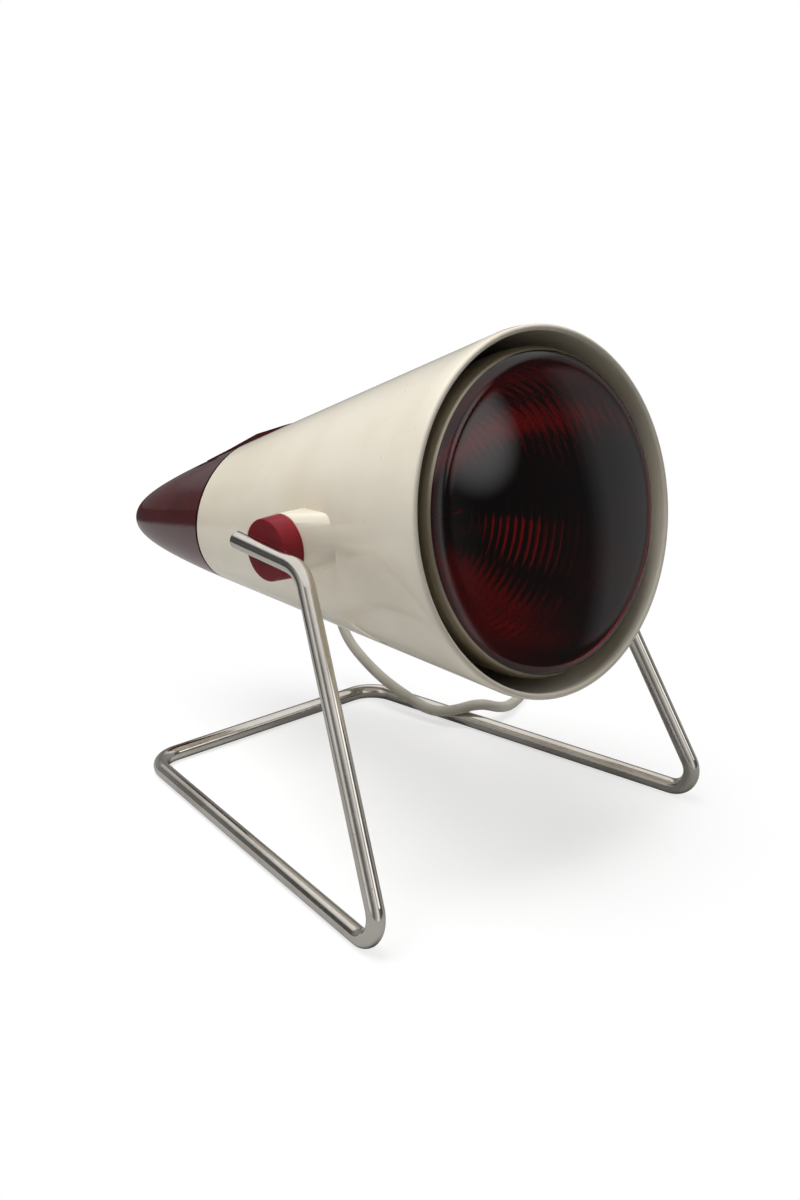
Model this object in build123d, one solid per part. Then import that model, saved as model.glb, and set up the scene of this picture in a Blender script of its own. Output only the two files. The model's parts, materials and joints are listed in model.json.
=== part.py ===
from build123d import *
import math
import os

# Infrared heat therapy lamp: a moulded cone with a reflector bulb, closed by a rear cap, that
# tilts between two knobs in a stand bent from one rod. Millimetres, +Z up, the light leaves
# towards -Y. The origin lies on the table, at the middle of the stand's foot loop.
# "Back" lengths run along the lamp's own axis, from the rim of the cone to the rear.

# ---- stand rod: half widths and bends are to the rod's centreline ----
rod_d = 7.3
foot_x = 97.2
foot_y = -98.8
foot_bend_r = 10.5
rear_x = 69.2
rear_y = 98.4
rear_bend_r = 15.0
arm_bend_y = -29.2
arm_bend_r = 13.0
arm_end_y = 12.9
arm_rise_deg = 3.8
rod_end_round = 0.8

# ---- tilt hinge ----
hinge_y = -4.1
hinge_z = 132.2
knob_inset = 10.3             # from the arm's centreline to the knob's base
knob_depth = 9.0
knob_base_r = 13.0
knob_face_r = 12.5
knob_edge_r = 0.8
groove_clear = 0.05
hinge_gap = 0.2
pivot_d = 6.0
pivot_clear = 0.05
pivot_spare = 2.0             # thread that stands out past the nut
pivot_head_af = 10.0
pivot_head_t = 3.2
pivot_head_cover = 1.2
bush_length = 15.0
bush_wall = 1.45
bush_flange_d = 14.0
bush_flange_t = 1.0
washer_t = 1.3
washer_d = 12.0
washer_dish = 0.5
nut_af = 10.0
nut_t = 4.0
nut_chamfer = 0.5

# ---- cone housing ----
tilt_deg = 11.95
axis_rise = 1.07
rim_forward = 83.2
rim_r = 72.2                  # where the cone's line would meet the plane of the rim
cone_deg = 11.0
seam_back = 195.1
seam_slant_deg = 19.0
housing_wall = 2.4
lip_t = 6.4                   # a fat round bead, thicker than the wall behind it
lip_depth = 3.6
boss_front = 16.0
boss_front_r = 11.4
boss_rear_r = 13.2
boss_proud = 10.97            # from the cone's line at the hinge to the boss's seat
boss_face_t = 3.0
boss_edge_r = 2.0
boss_flat = 13.0              # the flat seat runs this far ahead of the hinge, then slopes away
boss_slope_deg = 30.0
boss_crease_r = 12.0
boss_tube_wall = 3.0

# ---- rear cap ----
cap_length = 102.3
cap_reach = 104.0             # how far the cone's line pulls the cap's curve
cap_nose_pull = 7.0
cap_wall = 2.4
seam_gap = 0.3
seam_groove_w = 0.8           # rebate round the cap's front edge
seam_groove_depth = 0.5
spigot_length = 9.0
spigot_root = 6.0
spigot_t = 1.8
spigot_clear = 0.25
tongue_lap = 42.1             # how far the tip reaches ahead of the seam
tongue_crest_lap = 20.1
tongue_tail = 26.9            # how far the root runs behind the seam
tongue_tip_r = 5.0
tongue_root_r = 9.0
tongue_tip_t = 0.7
tongue_crest_t = 2.2
tongue_root_t = 0.9
tongue_gap = 0.15
vent_w = 2.2
vent_pitch_deg = 12.0
vent_front_count = 5
vent_front_behind = 14.9      # middle of the front row, behind the seam
vent_front_length = 22.0
vent_rear_count = 3
vent_rear_behind = 60.9
vent_rear_length = 15.0
cap_screw_behind = 7.0        # behind the middle of the seam, where the slant leaves room
cap_screw_d = 3.5
cap_screw_head_d = 6.6
cap_screw_length = 11.0
cap_screw_sink = 0.9

# ---- bulb ----
bulb_clear = 0.83             # from the lip's line to the bulb's widest circle
bulb_widest_back = 7.0
lens_shoulder_r = 7.4
lens_edge_deg = 40.0          # the red glass ends here on the shoulder, and the bowl's glass goes on
lens_dome = 7.4
glass_t = 2.2
bowl_waist_in = 2.5           # the bowl's pull at the waist, inside its widest circle
bowl_waist_back = 45.0
bowl_turn_r = 30.0
bowl_turn_back = 68.0
bulb_throat_r = 21.0
bulb_throat_back = 95.0
bulb_neck_r = 16.5
bulb_neck_start_back = 116.0
bulb_neck_end_back = 139.0
rib_count = 8
rib_depth = 0.8
skirt_lap = 8.0
base_wall = 0.4
base_taper = 4.0
base_r = 13.1
base_length = 20.0
base_thread_depth = 0.8
base_thread_pitch = 3.6
insulator_length = 4.0
contact_r = 4.6
contact_t = 2.0
stem_r = 4.0
stem_length = 39.0
support_d = 1.4
support_spread = 9.0
filament_d = 1.6
filament_back = 62.0

# ---- lamp holder and its bracket ----
sleeve_clear = 0.3
sleeve_t = 0.8
sleeve_length = 20.0
holder_lead = 3.0
holder_flange_r = 22.0
holder_flange_t = 8.0
holder_r = 18.0
holder_floor_t = 16.0
holder_chamfer = 1.5
contact_rise = 2.0
contact_strip_t = 0.6
contact_strip_w = 6.0
contact_strip_length = 12.0
bracket_t = 1.5
bracket_w = 20.0
bracket_ring_r = 25.0
bracket_end = 3.5             # strap beyond the middle of its screw
ring_r = 23.0
ring_t = 5.0
ring_notches = 6
post_inset = 6.4              # from the cone's inner wall to the middle of the post
post_r = 4.5
post_length = 20.0
bracket_screw_d = 4.0
bracket_screw_length = 12.0
bracket_screw_head_d = 7.5
bracket_screw_head_t = 2.6
terminal_x = 9.0
terminal_w = 7.0
terminal_length = 8.0
terminal_screw_d = 3.4
terminal_screw_t = 1.4
wire_d = 2.4
wire_gap = 0.2
wire_bend_r = 4.0

# ---- mains cord ----
cord_d = 5.4
exit_behind = 29.9            # behind the seam
exit_seat_proud = 1.6
exit_seat_r = 9.0
exit_seat_depth = 6.5
relief_root_r = 5.4
relief_tip_r = 3.5
relief_neck_r = 4.4
relief_flange_r = 7.0
relief_flange_t = 1.6
relief_grooves = 4
relief_groove_w = 1.4
relief_groove_depth = 0.5
sheath_length = 27.0          # from the seat's outer face to the end of the sheath
clamp_inset = 18.0
clamp_w = 8.0
clamp_t = 2.5
clamp_reach = 8.0
clamp_screw_d = 3.0
clamp_screw_length = 14.0
clamp_screw_head_d = 5.6
clamp_screw_head_t = 2.0
coil_r = 27.2
coil_turns_wide = 3
coil_turns_high = 3
coil_round = 2.6
coil_centre = (173.5, 104.0)
coil_stub = 4.0
tie_t = 1.0
tie_w_deg = 17.0
plug_relief_length = 20.0
plug_length = 36.0
plug_front_w = 35.0
plug_rear_w = 15.0
plug_t = 13.6
plug_edge_r = 2.0
pin_d = 4.0
pin_length = 19.0
pin_pitch = 18.6

# Free cord: points as it lies, from the rear cap over the right-hand rail to the coil.
cord_points = [
    (49.5, 134.84, 103.88), (62.5, 134.84, 103.88), (73.0, 134.8, 94.4), (76.8, 134.8, 79.0),
    (76.5, 134.0, 58.0), (72.4, 130.5, 38.5), (67.5, 117.0, 27.5), (65.0, 101.0, 20.8),
    (64.2, 83.5, 14.4), (65.6, 67.0, 9.6), (67.6, 51.0, 6.0), (72.0, 37.5, 10.6),
    (84.0, 29.5, 12.0), (98.0, 29.0, 6.0), (113.0, 34.0, 3.2), (129.0, 41.0, 3.4),
    (141.0, 50.5, 3.8), (146.3, 64.0, 3.8), (146.3, 77.0, 3.8),
]
# Tail of the cord, from the coil to the plug.
tail_points = [
    (146.3, 132.0, 3.8), (146.3, 147.0, 3.8), (153.0, 161.0, 4.8), (166.0, 170.0, 6.2),
    (182.0, 173.0, 6.9), (197.0, 173.0, 6.9),
]

# ---- sizes that follow from those above ----
rod_r = rod_d / 2
cord_r = cord_d / 2
pivot_r = pivot_d / 2
cone_slope = math.tan(math.radians(cone_deg))
cone_cos = math.cos(math.radians(cone_deg))
seam_r = rim_r - cone_slope * seam_back
nose_back = seam_back + cap_length
tongue_tip_back = seam_back - tongue_lap
tongue_crest_back = seam_back - tongue_crest_lap
tongue_root_back = seam_back + tongue_tail
cap_screw_back = seam_back + cap_screw_behind
exit_back = seam_back + exit_behind
exit_seat_x = rim_r - cone_slope * exit_back + exit_seat_proud
relief_length = cord_points[0][0] - exit_seat_x
sheath_inner_x = exit_seat_x - sheath_length
clamp_x = exit_seat_x - clamp_inset
boss_face_x = rim_r - cone_slope * rim_forward + boss_proud
knob_seat_x = boss_face_x + hinge_gap
arm_x = knob_seat_x + knob_inset
bulb_r = rim_r - cone_slope * bulb_widest_back - lip_t / cone_cos - bulb_clear
bowl_waist_r = bulb_r - bowl_waist_in
bush_inner_x = boss_face_x - bush_length
bush_r = pivot_r + pivot_clear + bush_wall
boss_tube_r = bush_r + boss_tube_wall
washer_outer_x = bush_inner_x - bush_flange_t - hinge_gap / 2
nut_outer_x = washer_outer_x - washer_t
pivot_inner_x = nut_outer_x - nut_t - pivot_spare
thread_start_back = bulb_neck_end_back + base_taper
thread_end_back = thread_start_back + base_length
contact_back = thread_end_back + insulator_length
bulb_end_back = contact_back + contact_t
sleeve_r = base_r + sleeve_clear
holder_bore_r = sleeve_r + sleeve_t
holder_front_back = thread_start_back + holder_lead
bracket_back = holder_front_back + holder_flange_t
holder_floor_back = bulb_end_back + contact_rise
holder_rear_back = holder_floor_back + holder_floor_t
terminal_rear_back = holder_rear_back + terminal_length
post_x = rim_r - cone_slope * bracket_back - housing_wall / cone_cos - post_inset
bracket_reach = post_x + bracket_end
coil_w = coil_turns_wide * cord_d
coil_h = coil_turns_high * cord_d
room = 4 * rim_r              # reach of the blocks that cut along a plane

tilt = math.radians(tilt_deg)
light_dir = Vector(0, -math.cos(tilt), math.sin(tilt))
up_dir = Vector(0, math.sin(tilt), math.cos(tilt))
lamp_origin = Vector(0, hinge_y, hinge_z) + up_dir * axis_rise
lamp_place = Location(Plane(origin=lamp_origin, x_dir=(1, 0, 0), z_dir=light_dir))


# ---- shared helpers ----
def rise_at(y):
    """Height of an arm's top run: it passes through the hinge and rises towards its free end."""
    return hinge_z + (y - hinge_y) * math.tan(math.radians(arm_rise_deg))


def back(distance):
    """Axial place, in the lamp's own frame, of a point this far behind the rim."""
    return rim_forward - distance


def cone_r(distance, inset=0.0):
    """Radius of the cone's line at a distance behind the rim, less an inset square to the wall."""
    return rim_r - cone_slope * distance - inset / cone_cos


def rod_x(radius, x_from, x_to, y=0.0, z=0.0):
    """A cylinder along X between two stations."""
    return Location(((x_from + x_to) / 2, y, z), (0, 90, 0)) * Cylinder(radius, abs(x_to - x_from))


def hex_x(across_flats, x_from, x_to, y=0.0, z=0.0):
    """A hexagonal prism along X between two stations."""
    outline = Plane.YZ * RegularPolygon(across_flats / 2, 6, major_radius=False)
    return Pos(x_from, y, z) * extrude(outline, x_to - x_from, dir=(1, 0, 0))


def turned(*lines):
    """A solid of revolution about the lamp's axis from an outline in X (radius) and Z."""
    edges = [edge for line in lines for edge in (Plane.XZ * line).edges()]
    return revolve(make_face(Wire(edges)), Axis.Z)


def ring_profile(*points):
    """Closed straight outline through (radius, distance behind the rim) points, turned."""
    face = make_face(Polyline(*[(r, back(s)) for r, s in points], close=True))
    return revolve(Plane.XZ * face, Axis.Z)


def disc(radius, back_from, back_to, bore=0.0):
    """A plain cylinder or ring on the lamp's axis between two distances behind the rim."""
    return ring_profile((bore, back_from), (radius, back_from), (radius, back_to), (bore, back_to))


def side_view(sketch, x_from, x_to):
    """Extrudes a side view (X forward, Y up in the lamp's frame) along X."""
    plane = Plane(origin=(x_from, 0, 0), x_dir=(0, 0, 1), z_dir=(-1, 0, 0))
    return extrude(plane * sketch, x_to - x_from, dir=(1, 0, 0))


def mirrored(solid):
    """The piece's twin on the -X side."""
    return mirror(solid, about=Plane.YZ)


def pair(solid):
    """The piece and its twin on the -X side, as one node."""
    return Compound(children=[solid, mirrored(solid)])


def corner_radii(points):
    """Radius at each inner point of a cord: 0.45 of its shorter run over the half turn's tangent."""
    radii = []
    for before, here, after in zip(points, points[1:], points[2:]):
        run_in, run_out = Vector(*here) - Vector(*before), Vector(*after) - Vector(*here)
        half_turn = math.radians(run_in.get_angle(run_out)) / 2
        radii.append(0.45 * min(run_in.length, run_out.length) / math.tan(half_turn))
    return radii


def tube(points, diameter, radii):
    """A round tube along straight runs joined by tangent arcs."""
    path = FilletPolyline(*points, radius=radii)
    return sweep(Plane(origin=path @ 0, z_dir=path % 0) * Circle(diameter / 2), path=path), path


# ---- stand ----
def stand_rod():
    """One bent rod: both arms, both side rails and the rear cross rail, with rounded free ends."""
    half = [
        (arm_x, arm_end_y, rise_at(arm_end_y)),
        (arm_x, arm_bend_y, rise_at(arm_bend_y)),
        (foot_x, foot_y, rod_r),
        (rear_x, rear_y, rod_r),
    ]
    other = [(-x, y, z) for x, y, z in reversed(half)]
    bends = [arm_bend_r, foot_bend_r, rear_bend_r]
    rod, path = tube(half + other, rod_d, bends + bends[::-1])
    return fillet(rod.faces().filter_by(GeomType.PLANE).edges(), rod_end_round)


def pivot_bolt():
    """Hexagon-headed pivot of the +X side: the knob is moulded round its head."""
    head_x = knob_seat_x + pivot_head_cover
    shank = rod_x(pivot_r, pivot_inner_x, head_x, hinge_y, hinge_z)
    shank = chamfer(shank.edges().sort_by(Axis.X)[0], 0.6)
    return shank + hex_x(pivot_head_af, head_x, head_x + pivot_head_t, hinge_y, hinge_z)


def knob():
    """Moulded knob of the +X side: its face is grooved for the arm, its base holds the pivot's head."""
    body = Cone(knob_base_r, knob_face_r, knob_depth, align=(Align.CENTER, Align.CENTER, Align.MIN))
    body = fillet(body.edges().sort_by(Axis.Z)[-1], knob_edge_r)
    body = Location((knob_seat_x, hinge_y, hinge_z), (0, 90, 0)) * body
    run = Vector(0, math.cos(math.radians(arm_rise_deg)), math.sin(math.radians(arm_rise_deg)))
    arm = Plane(origin=(arm_x, hinge_y, hinge_z), x_dir=(1, 0, 0), z_dir=run)
    groove = arm * Cylinder(rod_r + groove_clear, 4 * knob_base_r)
    mouth = arm * Box(knob_depth, rod_d + 2 * groove_clear, 4 * knob_base_r,
                      align=(Align.MIN, Align.CENTER, Align.CENTER))
    return body - groove - mouth - pivot_bolt()


def spring_washer():
    """Dished friction washer of the +X side, between the bush's flange and the nut."""
    ring = rod_x(washer_d / 2, nut_outer_x, washer_outer_x, hinge_y, hinge_z)
    ring = ring - rod_x(pivot_r, nut_outer_x - 1, washer_outer_x + 1, hinge_y, hinge_z)
    hollow = Cone(pivot_r + washer_dish, washer_d / 2 - washer_dish, washer_dish,
                  align=(Align.CENTER, Align.CENTER, Align.MAX))
    return ring - Location((washer_outer_x, hinge_y, hinge_z), (0, 90, 0)) * hollow


def lock_nut():
    """Hexagon nut of the +X side, with chamfered corners."""
    nut = hex_x(nut_af, nut_outer_x - nut_t, nut_outer_x, hinge_y, hinge_z)
    corners = chamfer(Cylinder(nut_af / math.sqrt(3), nut_t).edges().filter_by(GeomType.CIRCLE), nut_chamfer)
    corners = Location((nut_outer_x - nut_t / 2, hinge_y, hinge_z), (0, 90, 0)) * corners
    return (nut & corners) - rod_x(pivot_r, pivot_inner_x - 1, nut_outer_x + 1, hinge_y, hinge_z)


# ---- cone housing ----
def cone_solid(inset, back_from, back_to):
    """A solid frustum of the cone between two distances behind the rim."""
    return ring_profile((0, back_from), (cone_r(back_from, inset), back_from),
                        (cone_r(back_to, inset), back_to), (0, back_to))


def behind_seam(forward=0.0):
    """A block that fills everything behind the slanted seam, or behind its copy further forward."""
    slant = math.radians(seam_slant_deg)
    seam = Plane(origin=(0, 0, back(seam_back)), x_dir=(1, 0, 0), z_dir=(0, -math.sin(slant), math.cos(slant)))
    return seam.offset(forward) * Box(room, room, room, align=(Align.CENTER, Align.CENTER, Align.MAX))


def boss_view(inset=0.0):
    """Side view of a hinge boss: round behind the knob, narrower where it runs out on the cone."""
    rear = Pos(0, -axis_rise) * Circle(boss_rear_r - inset)
    front = Pos(boss_front, 0) * Circle(boss_front_r - inset)
    return make_hull((rear + front).edges())


def ahead_of_boss():
    """Block beyond the +X boss's sloping front, which carries its seat down to the cone."""
    slope = Plane(origin=(boss_face_x, 0, boss_flat), x_dir=(0, 1, 0),
                  z_dir=(math.cos(math.radians(boss_slope_deg)), 0, math.sin(math.radians(boss_slope_deg))))
    return slope * Box(room, room, room, align=(Align.CENTER, Align.CENTER, Align.MIN))


def bracket_post(side):
    """Post inside the cone that carries one end of the holder's bracket, with its screw hole."""
    middle = back(bracket_back) + post_length / 2
    post = Pos(side * post_x, 0, middle) * Cylinder(post_r, post_length)
    web = Pos(side * post_x, 0, middle) * Box(
        seam_r, 2 * post_r, post_length, align=(Align.MIN if side > 0 else Align.MAX, Align.CENTER, Align.CENTER))
    inside = cone_solid(housing_wall / 2, bracket_back - post_length - 1, bracket_back + 1)
    hole = Pos(side * post_x, 0, back(bracket_back)) * Cylinder(bracket_screw_d / 2, 2 * bracket_screw_length)
    return ((post + web) & inside) - hole


def housing_cone():
    """Moulded cone with a thick round lip, two hinge bosses cored from inside and bracket posts."""
    end = seam_back + seam_r
    lip_r = lip_t / 2
    lip_mid = cone_r(lip_r) - lip_r
    walls = [
        (cone_r(lip_r) - lip_t, lip_r), (cone_r(lip_depth, lip_t), lip_depth),
        (cone_r(lip_depth + lip_t, housing_wall), lip_depth + lip_t),
        (cone_r(end, housing_wall), end), (cone_r(end), end), (cone_r(lip_r), lip_r),
    ]
    walls = [(r, back(s)) for r, s in walls]
    shell = turned(Polyline(*walls), ThreePointArc(walls[-1], (lip_mid, back(0)), walls[0]))
    cavity = cone_solid(housing_wall, 0, end)
    for side in (1, -1):
        pad = side_view(boss_view(), 0, boss_face_x) - ahead_of_boss()
        crease = pad.edges().filter_by(Axis.Y).sort_by(Axis.X)[-1]
        pad = fillet(crease, boss_crease_r)
        rims = pad.edges().filter_by(lambda edge: edge.center().X > boss_tube_r)
        rims = rims.filter_by(Axis.X, reverse=True).filter_by(Axis.Y, reverse=True)
        pad = fillet(rims, boss_edge_r) - cavity
        core = side_view(boss_view(housing_wall), boss_tube_r, boss_face_x - boss_face_t)
        core = core - Pos(-boss_face_t, 0, 0) * ahead_of_boss()
        core = core - rod_x(boss_tube_r, bush_inner_x, boss_face_x, -axis_rise)
        bore = rod_x(bush_r, 0, boss_face_x + 1, -axis_rise)
        tube_end = rod_x(boss_tube_r, bush_inner_x, boss_face_x - boss_face_t, -axis_rise)
        if side < 0:
            pad, core, bore, tube_end = mirrored(pad), mirrored(core), mirrored(bore), mirrored(tube_end)
        shell = (shell + pad + tube_end) - core - bore
    return shell + bracket_post(1) + bracket_post(-1) - behind_seam() - cap_screw_hole()


def pivot_bush():
    """Flanged bush of the +X boss, pressed in from inside the cone."""
    body = rod_x(bush_r, bush_inner_x, boss_face_x, -axis_rise)
    flange = rod_x(bush_flange_d / 2, bush_inner_x - bush_flange_t, bush_inner_x, -axis_rise)
    return body + flange - rod_x(pivot_r + pivot_clear, 0, boss_face_x + 1, -axis_rise)


# ---- rear cap ----
def cap_solid(inset):
    """The cap's whole volume, less an inset: it carries the cone's line on and rounds into the nose."""
    front = seam_back - seam_r
    joint = (cone_r(seam_back, inset), back(seam_back))
    nose_z = back(nose_back) + inset
    pull = (joint[0] - cone_slope * cap_reach, back(seam_back + cap_reach) + inset)
    return turned(
        Line((0, back(front)), (cone_r(front, inset), back(front))),
        Line((cone_r(front, inset), back(front)), joint),
        Bezier(joint, pull, (cap_nose_pull, nose_z), (0, nose_z)),
        Line((0, nose_z), (0, back(front))))


def cap_tongue():
    """Raised tongue on top of the cap: its front laps over the cone and clears it."""
    tip = Pos(0, back(tongue_tip_back + tongue_tip_r)) * Circle(tongue_tip_r)
    root = Pos(0, back(tongue_root_back - tongue_root_r)) * Circle(tongue_root_r)
    plan = Plane(origin=(0, 0, 0), x_dir=(-1, 0, 0), z_dir=(0, 1, 0)) * make_hull((tip + root).edges())
    column = extrude(plan, room, dir=(0, 1, 0))
    crest = ring_profile(
        (0, tongue_tip_back), (cone_r(tongue_tip_back) + tongue_tip_t, tongue_tip_back),
        (cone_r(tongue_crest_back) + tongue_crest_t, tongue_crest_back),
        (cone_r(seam_back) + tongue_root_t, seam_back),
        (cone_r(tongue_root_back), tongue_root_back), (0, tongue_root_back))
    tongue = column & crest
    lap = tongue - cone_solid(-tongue_gap, 0, nose_back)
    root = (tongue & behind_seam(-seam_gap)) - cap_solid(cap_wall)
    return lap, root


def vent_slots(count, middle_back, length):
    """Cutters for a row of slots with round ends, side by side over the top of the cap."""
    slot = extrude(Plane(origin=(0, 0, back(middle_back)), x_dir=(0, 0, 1), z_dir=(0, 1, 0))
                   * SlotOverall(length, vent_w), room, dir=(0, 1, 0))
    return [Rotation(0, 0, (i - (count - 1) / 2) * vent_pitch_deg) * slot for i in range(count)]


def cord_pad():
    """Pad inside the cap that the cord lies on, with the clamp's two screw holes."""
    place = Pos(clamp_x, -cord_r, back(exit_back))
    block = Box(clamp_w, room, 2 * clamp_reach + clamp_screw_head_d, align=(Align.CENTER, Align.MAX, Align.CENTER))
    pad = (place * block) & cap_solid(cap_wall / 2)
    for side in (1, -1):
        pad = pad - clamp_screw_place(side) * Cylinder(clamp_screw_d / 2, 2 * clamp_screw_length)
    return pad


def clamp_screw_place(side):
    """Under the head of one clamp screw, with +Z pointing out of the head."""
    return Location((clamp_x, cord_r + clamp_t, back(exit_back) + side * clamp_reach), (-90, 0, 0))


def cap_screw_place():
    """Outer face of the cap screw, under the lamp, with +Z pointing out of its head."""
    return Location((0, -cone_r(cap_screw_back) + cap_screw_sink, back(cap_screw_back)), (90, 0, 0))


def cap_screw_body():
    """The cap screw's outline: a countersunk head on a plain shank."""
    head_h = (cap_screw_head_d - cap_screw_d) / 2
    head = Cone(cap_screw_d / 2, cap_screw_head_d / 2, head_h, align=(Align.CENTER, Align.CENTER, Align.MAX))
    return head + Cylinder(cap_screw_d / 2, cap_screw_length, align=(Align.CENTER, Align.CENTER, Align.MAX))


def cap_screw_hole():
    """Countersunk hole for the cap screw through the cone and the spigot."""
    well = Cylinder(cap_screw_head_d / 2, 2 * cap_screw_sink + 1, align=(Align.CENTER, Align.CENTER, Align.MIN))
    return cap_screw_place() * (cap_screw_body() + well)


def cap_screw():
    """Slotted countersunk screw that holds the cap's spigot in the cone."""
    slot = Box(cap_screw_head_d + 1, 0.9, 1.4)
    return cap_screw_place() * (cap_screw_body() - slot)


def rear_cap():
    """Moulded cap with a spigot in the cone, the lapping tongue, vent slots and the cord's seat."""
    spigot_inset = housing_wall + spigot_clear
    hollow = cone_solid(spigot_inset + spigot_t, 0, nose_back)
    shell = (cap_solid(0) - cap_solid(cap_wall)) & behind_seam(-seam_gap)
    groove = behind_seam(-seam_gap) - behind_seam(-seam_gap - seam_groove_w) - cap_solid(seam_groove_depth)
    shell = shell - groove
    spigot = (cone_solid(spigot_inset, 0, nose_back) - hollow) & (behind_seam(spigot_length) - behind_seam(-spigot_root))
    root = (cap_solid(cap_wall / 2) - hollow) & (behind_seam(-seam_gap) - behind_seam(-spigot_root))
    lap, tongue_root = cap_tongue()
    seat_inner_x = exit_seat_x - exit_seat_depth
    seat = rod_x(exit_seat_r, seat_inner_x, exit_seat_x, 0, back(exit_back))
    hole = rod_x(relief_neck_r, seat_inner_x - 4, exit_seat_x + 1, 0, back(exit_back))
    shell = shell + root + spigot + tongue_root + lap + cord_pad() + seat - hole
    for slot in (vent_slots(vent_front_count, seam_back + vent_front_behind, vent_front_length)
                 + vent_slots(vent_rear_count, seam_back + vent_rear_behind, vent_rear_length)):
        shell = shell - slot
    return shell - cap_screw_hole()


# ---- bulb ----
def shoulder_arc(inset, *degrees):
    """Points on the bulb's shoulder, as (radius, place): 0 is its widest circle, 90 the crease."""
    shoulder = lens_shoulder_r - inset
    turns = [math.radians(angle) for angle in degrees]
    return [(bulb_r - lens_shoulder_r + shoulder * math.cos(turn),
             back(bulb_widest_back) + shoulder * math.sin(turn)) for turn in turns]


def dome_arc(inset):
    """Shallow dome from the crease to the middle of the glass."""
    crease, = shoulder_arc(inset, 90)
    dome_r = (crease[0] ** 2 + lens_dome ** 2) / (2 * lens_dome)
    half = math.asin(crease[0] / dome_r) / 2
    top = crease[1] + lens_dome
    middle = (dome_r * math.sin(half), top - dome_r * (1 - math.cos(half)))
    return crease, middle, (0, top)


def bulb_lens():
    """Dark red pressed front glass: a shallow dome and most of the rounded shoulder."""
    spread = lens_edge_deg, (lens_edge_deg + 90) / 2, 90
    outer, inner = shoulder_arc(0, *spread), shoulder_arc(glass_t, *spread)
    outer_dome, inner_dome = dome_arc(0), dome_arc(glass_t)
    return turned(
        ThreePointArc(*outer), ThreePointArc(*outer_dome), Line(outer_dome[2], inner_dome[2]),
        ThreePointArc(*inner_dome[::-1]), ThreePointArc(*inner[::-1]), Line(inner[0], outer[0]))


def bowl_lines(inset):
    """Line of the glass from the widest circle through the bowl and the throat to the neck's end."""
    def at(radius, distance):
        return (radius - inset, back(distance))
    bowl = Bezier(at(bulb_r, bulb_widest_back), at(bowl_waist_r, bowl_waist_back),
                  at(bowl_turn_r, bowl_turn_back), at(bulb_throat_r, bulb_throat_back))
    bend = 0.4 * (bulb_neck_start_back - bulb_throat_back)
    lean = (bowl_turn_r - bulb_throat_r) / (bulb_throat_back - bowl_turn_back)
    throat = Bezier(at(bulb_throat_r, bulb_throat_back),
                    at(bulb_throat_r - bend * lean, bulb_throat_back + bend),
                    at(bulb_neck_r, bulb_neck_start_back - bend), at(bulb_neck_r, bulb_neck_start_back))
    neck = Line(at(bulb_neck_r, bulb_neck_start_back), at(bulb_neck_r, bulb_neck_end_back))
    return bowl, throat, neck


def bulb_reflector():
    """Silvered glass bowl and neck: stepped rings are pressed into the inside of the bowl."""
    bowl, throat, neck = bowl_lines(0)
    bowl_in, throat_in, neck_in = bowl_lines(glass_t)
    steps = []
    for i in range(rib_count + 1):
        here = bowl_in @ (0.04 + 0.86 * i / rib_count)
        steps.append((here.X, here.Y))
        if i < rib_count:
            following = bowl_in @ (0.04 + 0.86 * (i + 0.8) / rib_count)
            steps.append((following.X - rib_depth, following.Y))
    spread = 0, lens_edge_deg / 2, lens_edge_deg
    outer, inner = shoulder_arc(0, *spread), shoulder_arc(glass_t, *spread)
    end = (bowl_in @ 1).X, (bowl_in @ 1).Y
    return turned(
        bowl, throat, neck, Line(neck @ 1, neck_in @ 1), neck_in, throat_in,
        Polyline(inner[0], *steps, end), ThreePointArc(*inner), Line(inner[2], outer[2]), ThreePointArc(*outer))


def bulb_base():
    """Brass screw base: a skirt on the glass neck and a shell with rolled thread ridges."""
    skirt_r = bulb_neck_r + base_wall
    outer = [(bulb_neck_r, bulb_neck_end_back - skirt_lap), (skirt_r, bulb_neck_end_back - skirt_lap),
             (skirt_r, bulb_neck_end_back), (base_r - base_thread_depth, thread_start_back)]
    ridge = thread_start_back + base_thread_pitch / 2
    while ridge + base_thread_pitch / 2 < thread_end_back:
        outer += [(base_r - 0.2, ridge - 0.6), (base_r, ridge), (base_r - 0.2, ridge + 0.6),
                  (base_r - base_thread_depth, ridge + base_thread_pitch / 2)]
        ridge += base_thread_pitch
    inner_r = base_r - base_thread_depth - base_wall
    outer += [(base_r - base_thread_depth, thread_end_back), (inner_r, thread_end_back),
              (inner_r, thread_start_back), (bulb_neck_r, bulb_neck_end_back)]
    return ring_profile(*outer)


def bulb_base_insulator():
    """Black glass cone that closes the screw base round its contact."""
    plug_r = base_r - base_thread_depth - base_wall
    return ring_profile(
        (0, thread_end_back - insulator_length), (plug_r, thread_end_back - insulator_length),
        (plug_r, thread_end_back), (contact_r + 1, contact_back), (0, contact_back))


def bulb_contact():
    """Soldered contact at the end of the base."""
    body = disc(contact_r, contact_back, bulb_end_back)
    return chamfer(body.edges().filter_by(GeomType.CIRCLE).sort_by(Axis.Z)[0], contact_t / 3)


def bulb_stem():
    """Glass flare sealed in the neck that rises to the press holding the supports."""
    neck_r = bulb_neck_r - glass_t
    top = bulb_neck_end_back - stem_length
    return ring_profile(
        (0, top), (stem_r, top), (stem_r, bulb_neck_end_back - neck_r),
        (neck_r, bulb_neck_end_back - glass_t), (neck_r, bulb_neck_end_back),
        (stem_r, bulb_neck_end_back), (0, bulb_neck_end_back - neck_r))


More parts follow.
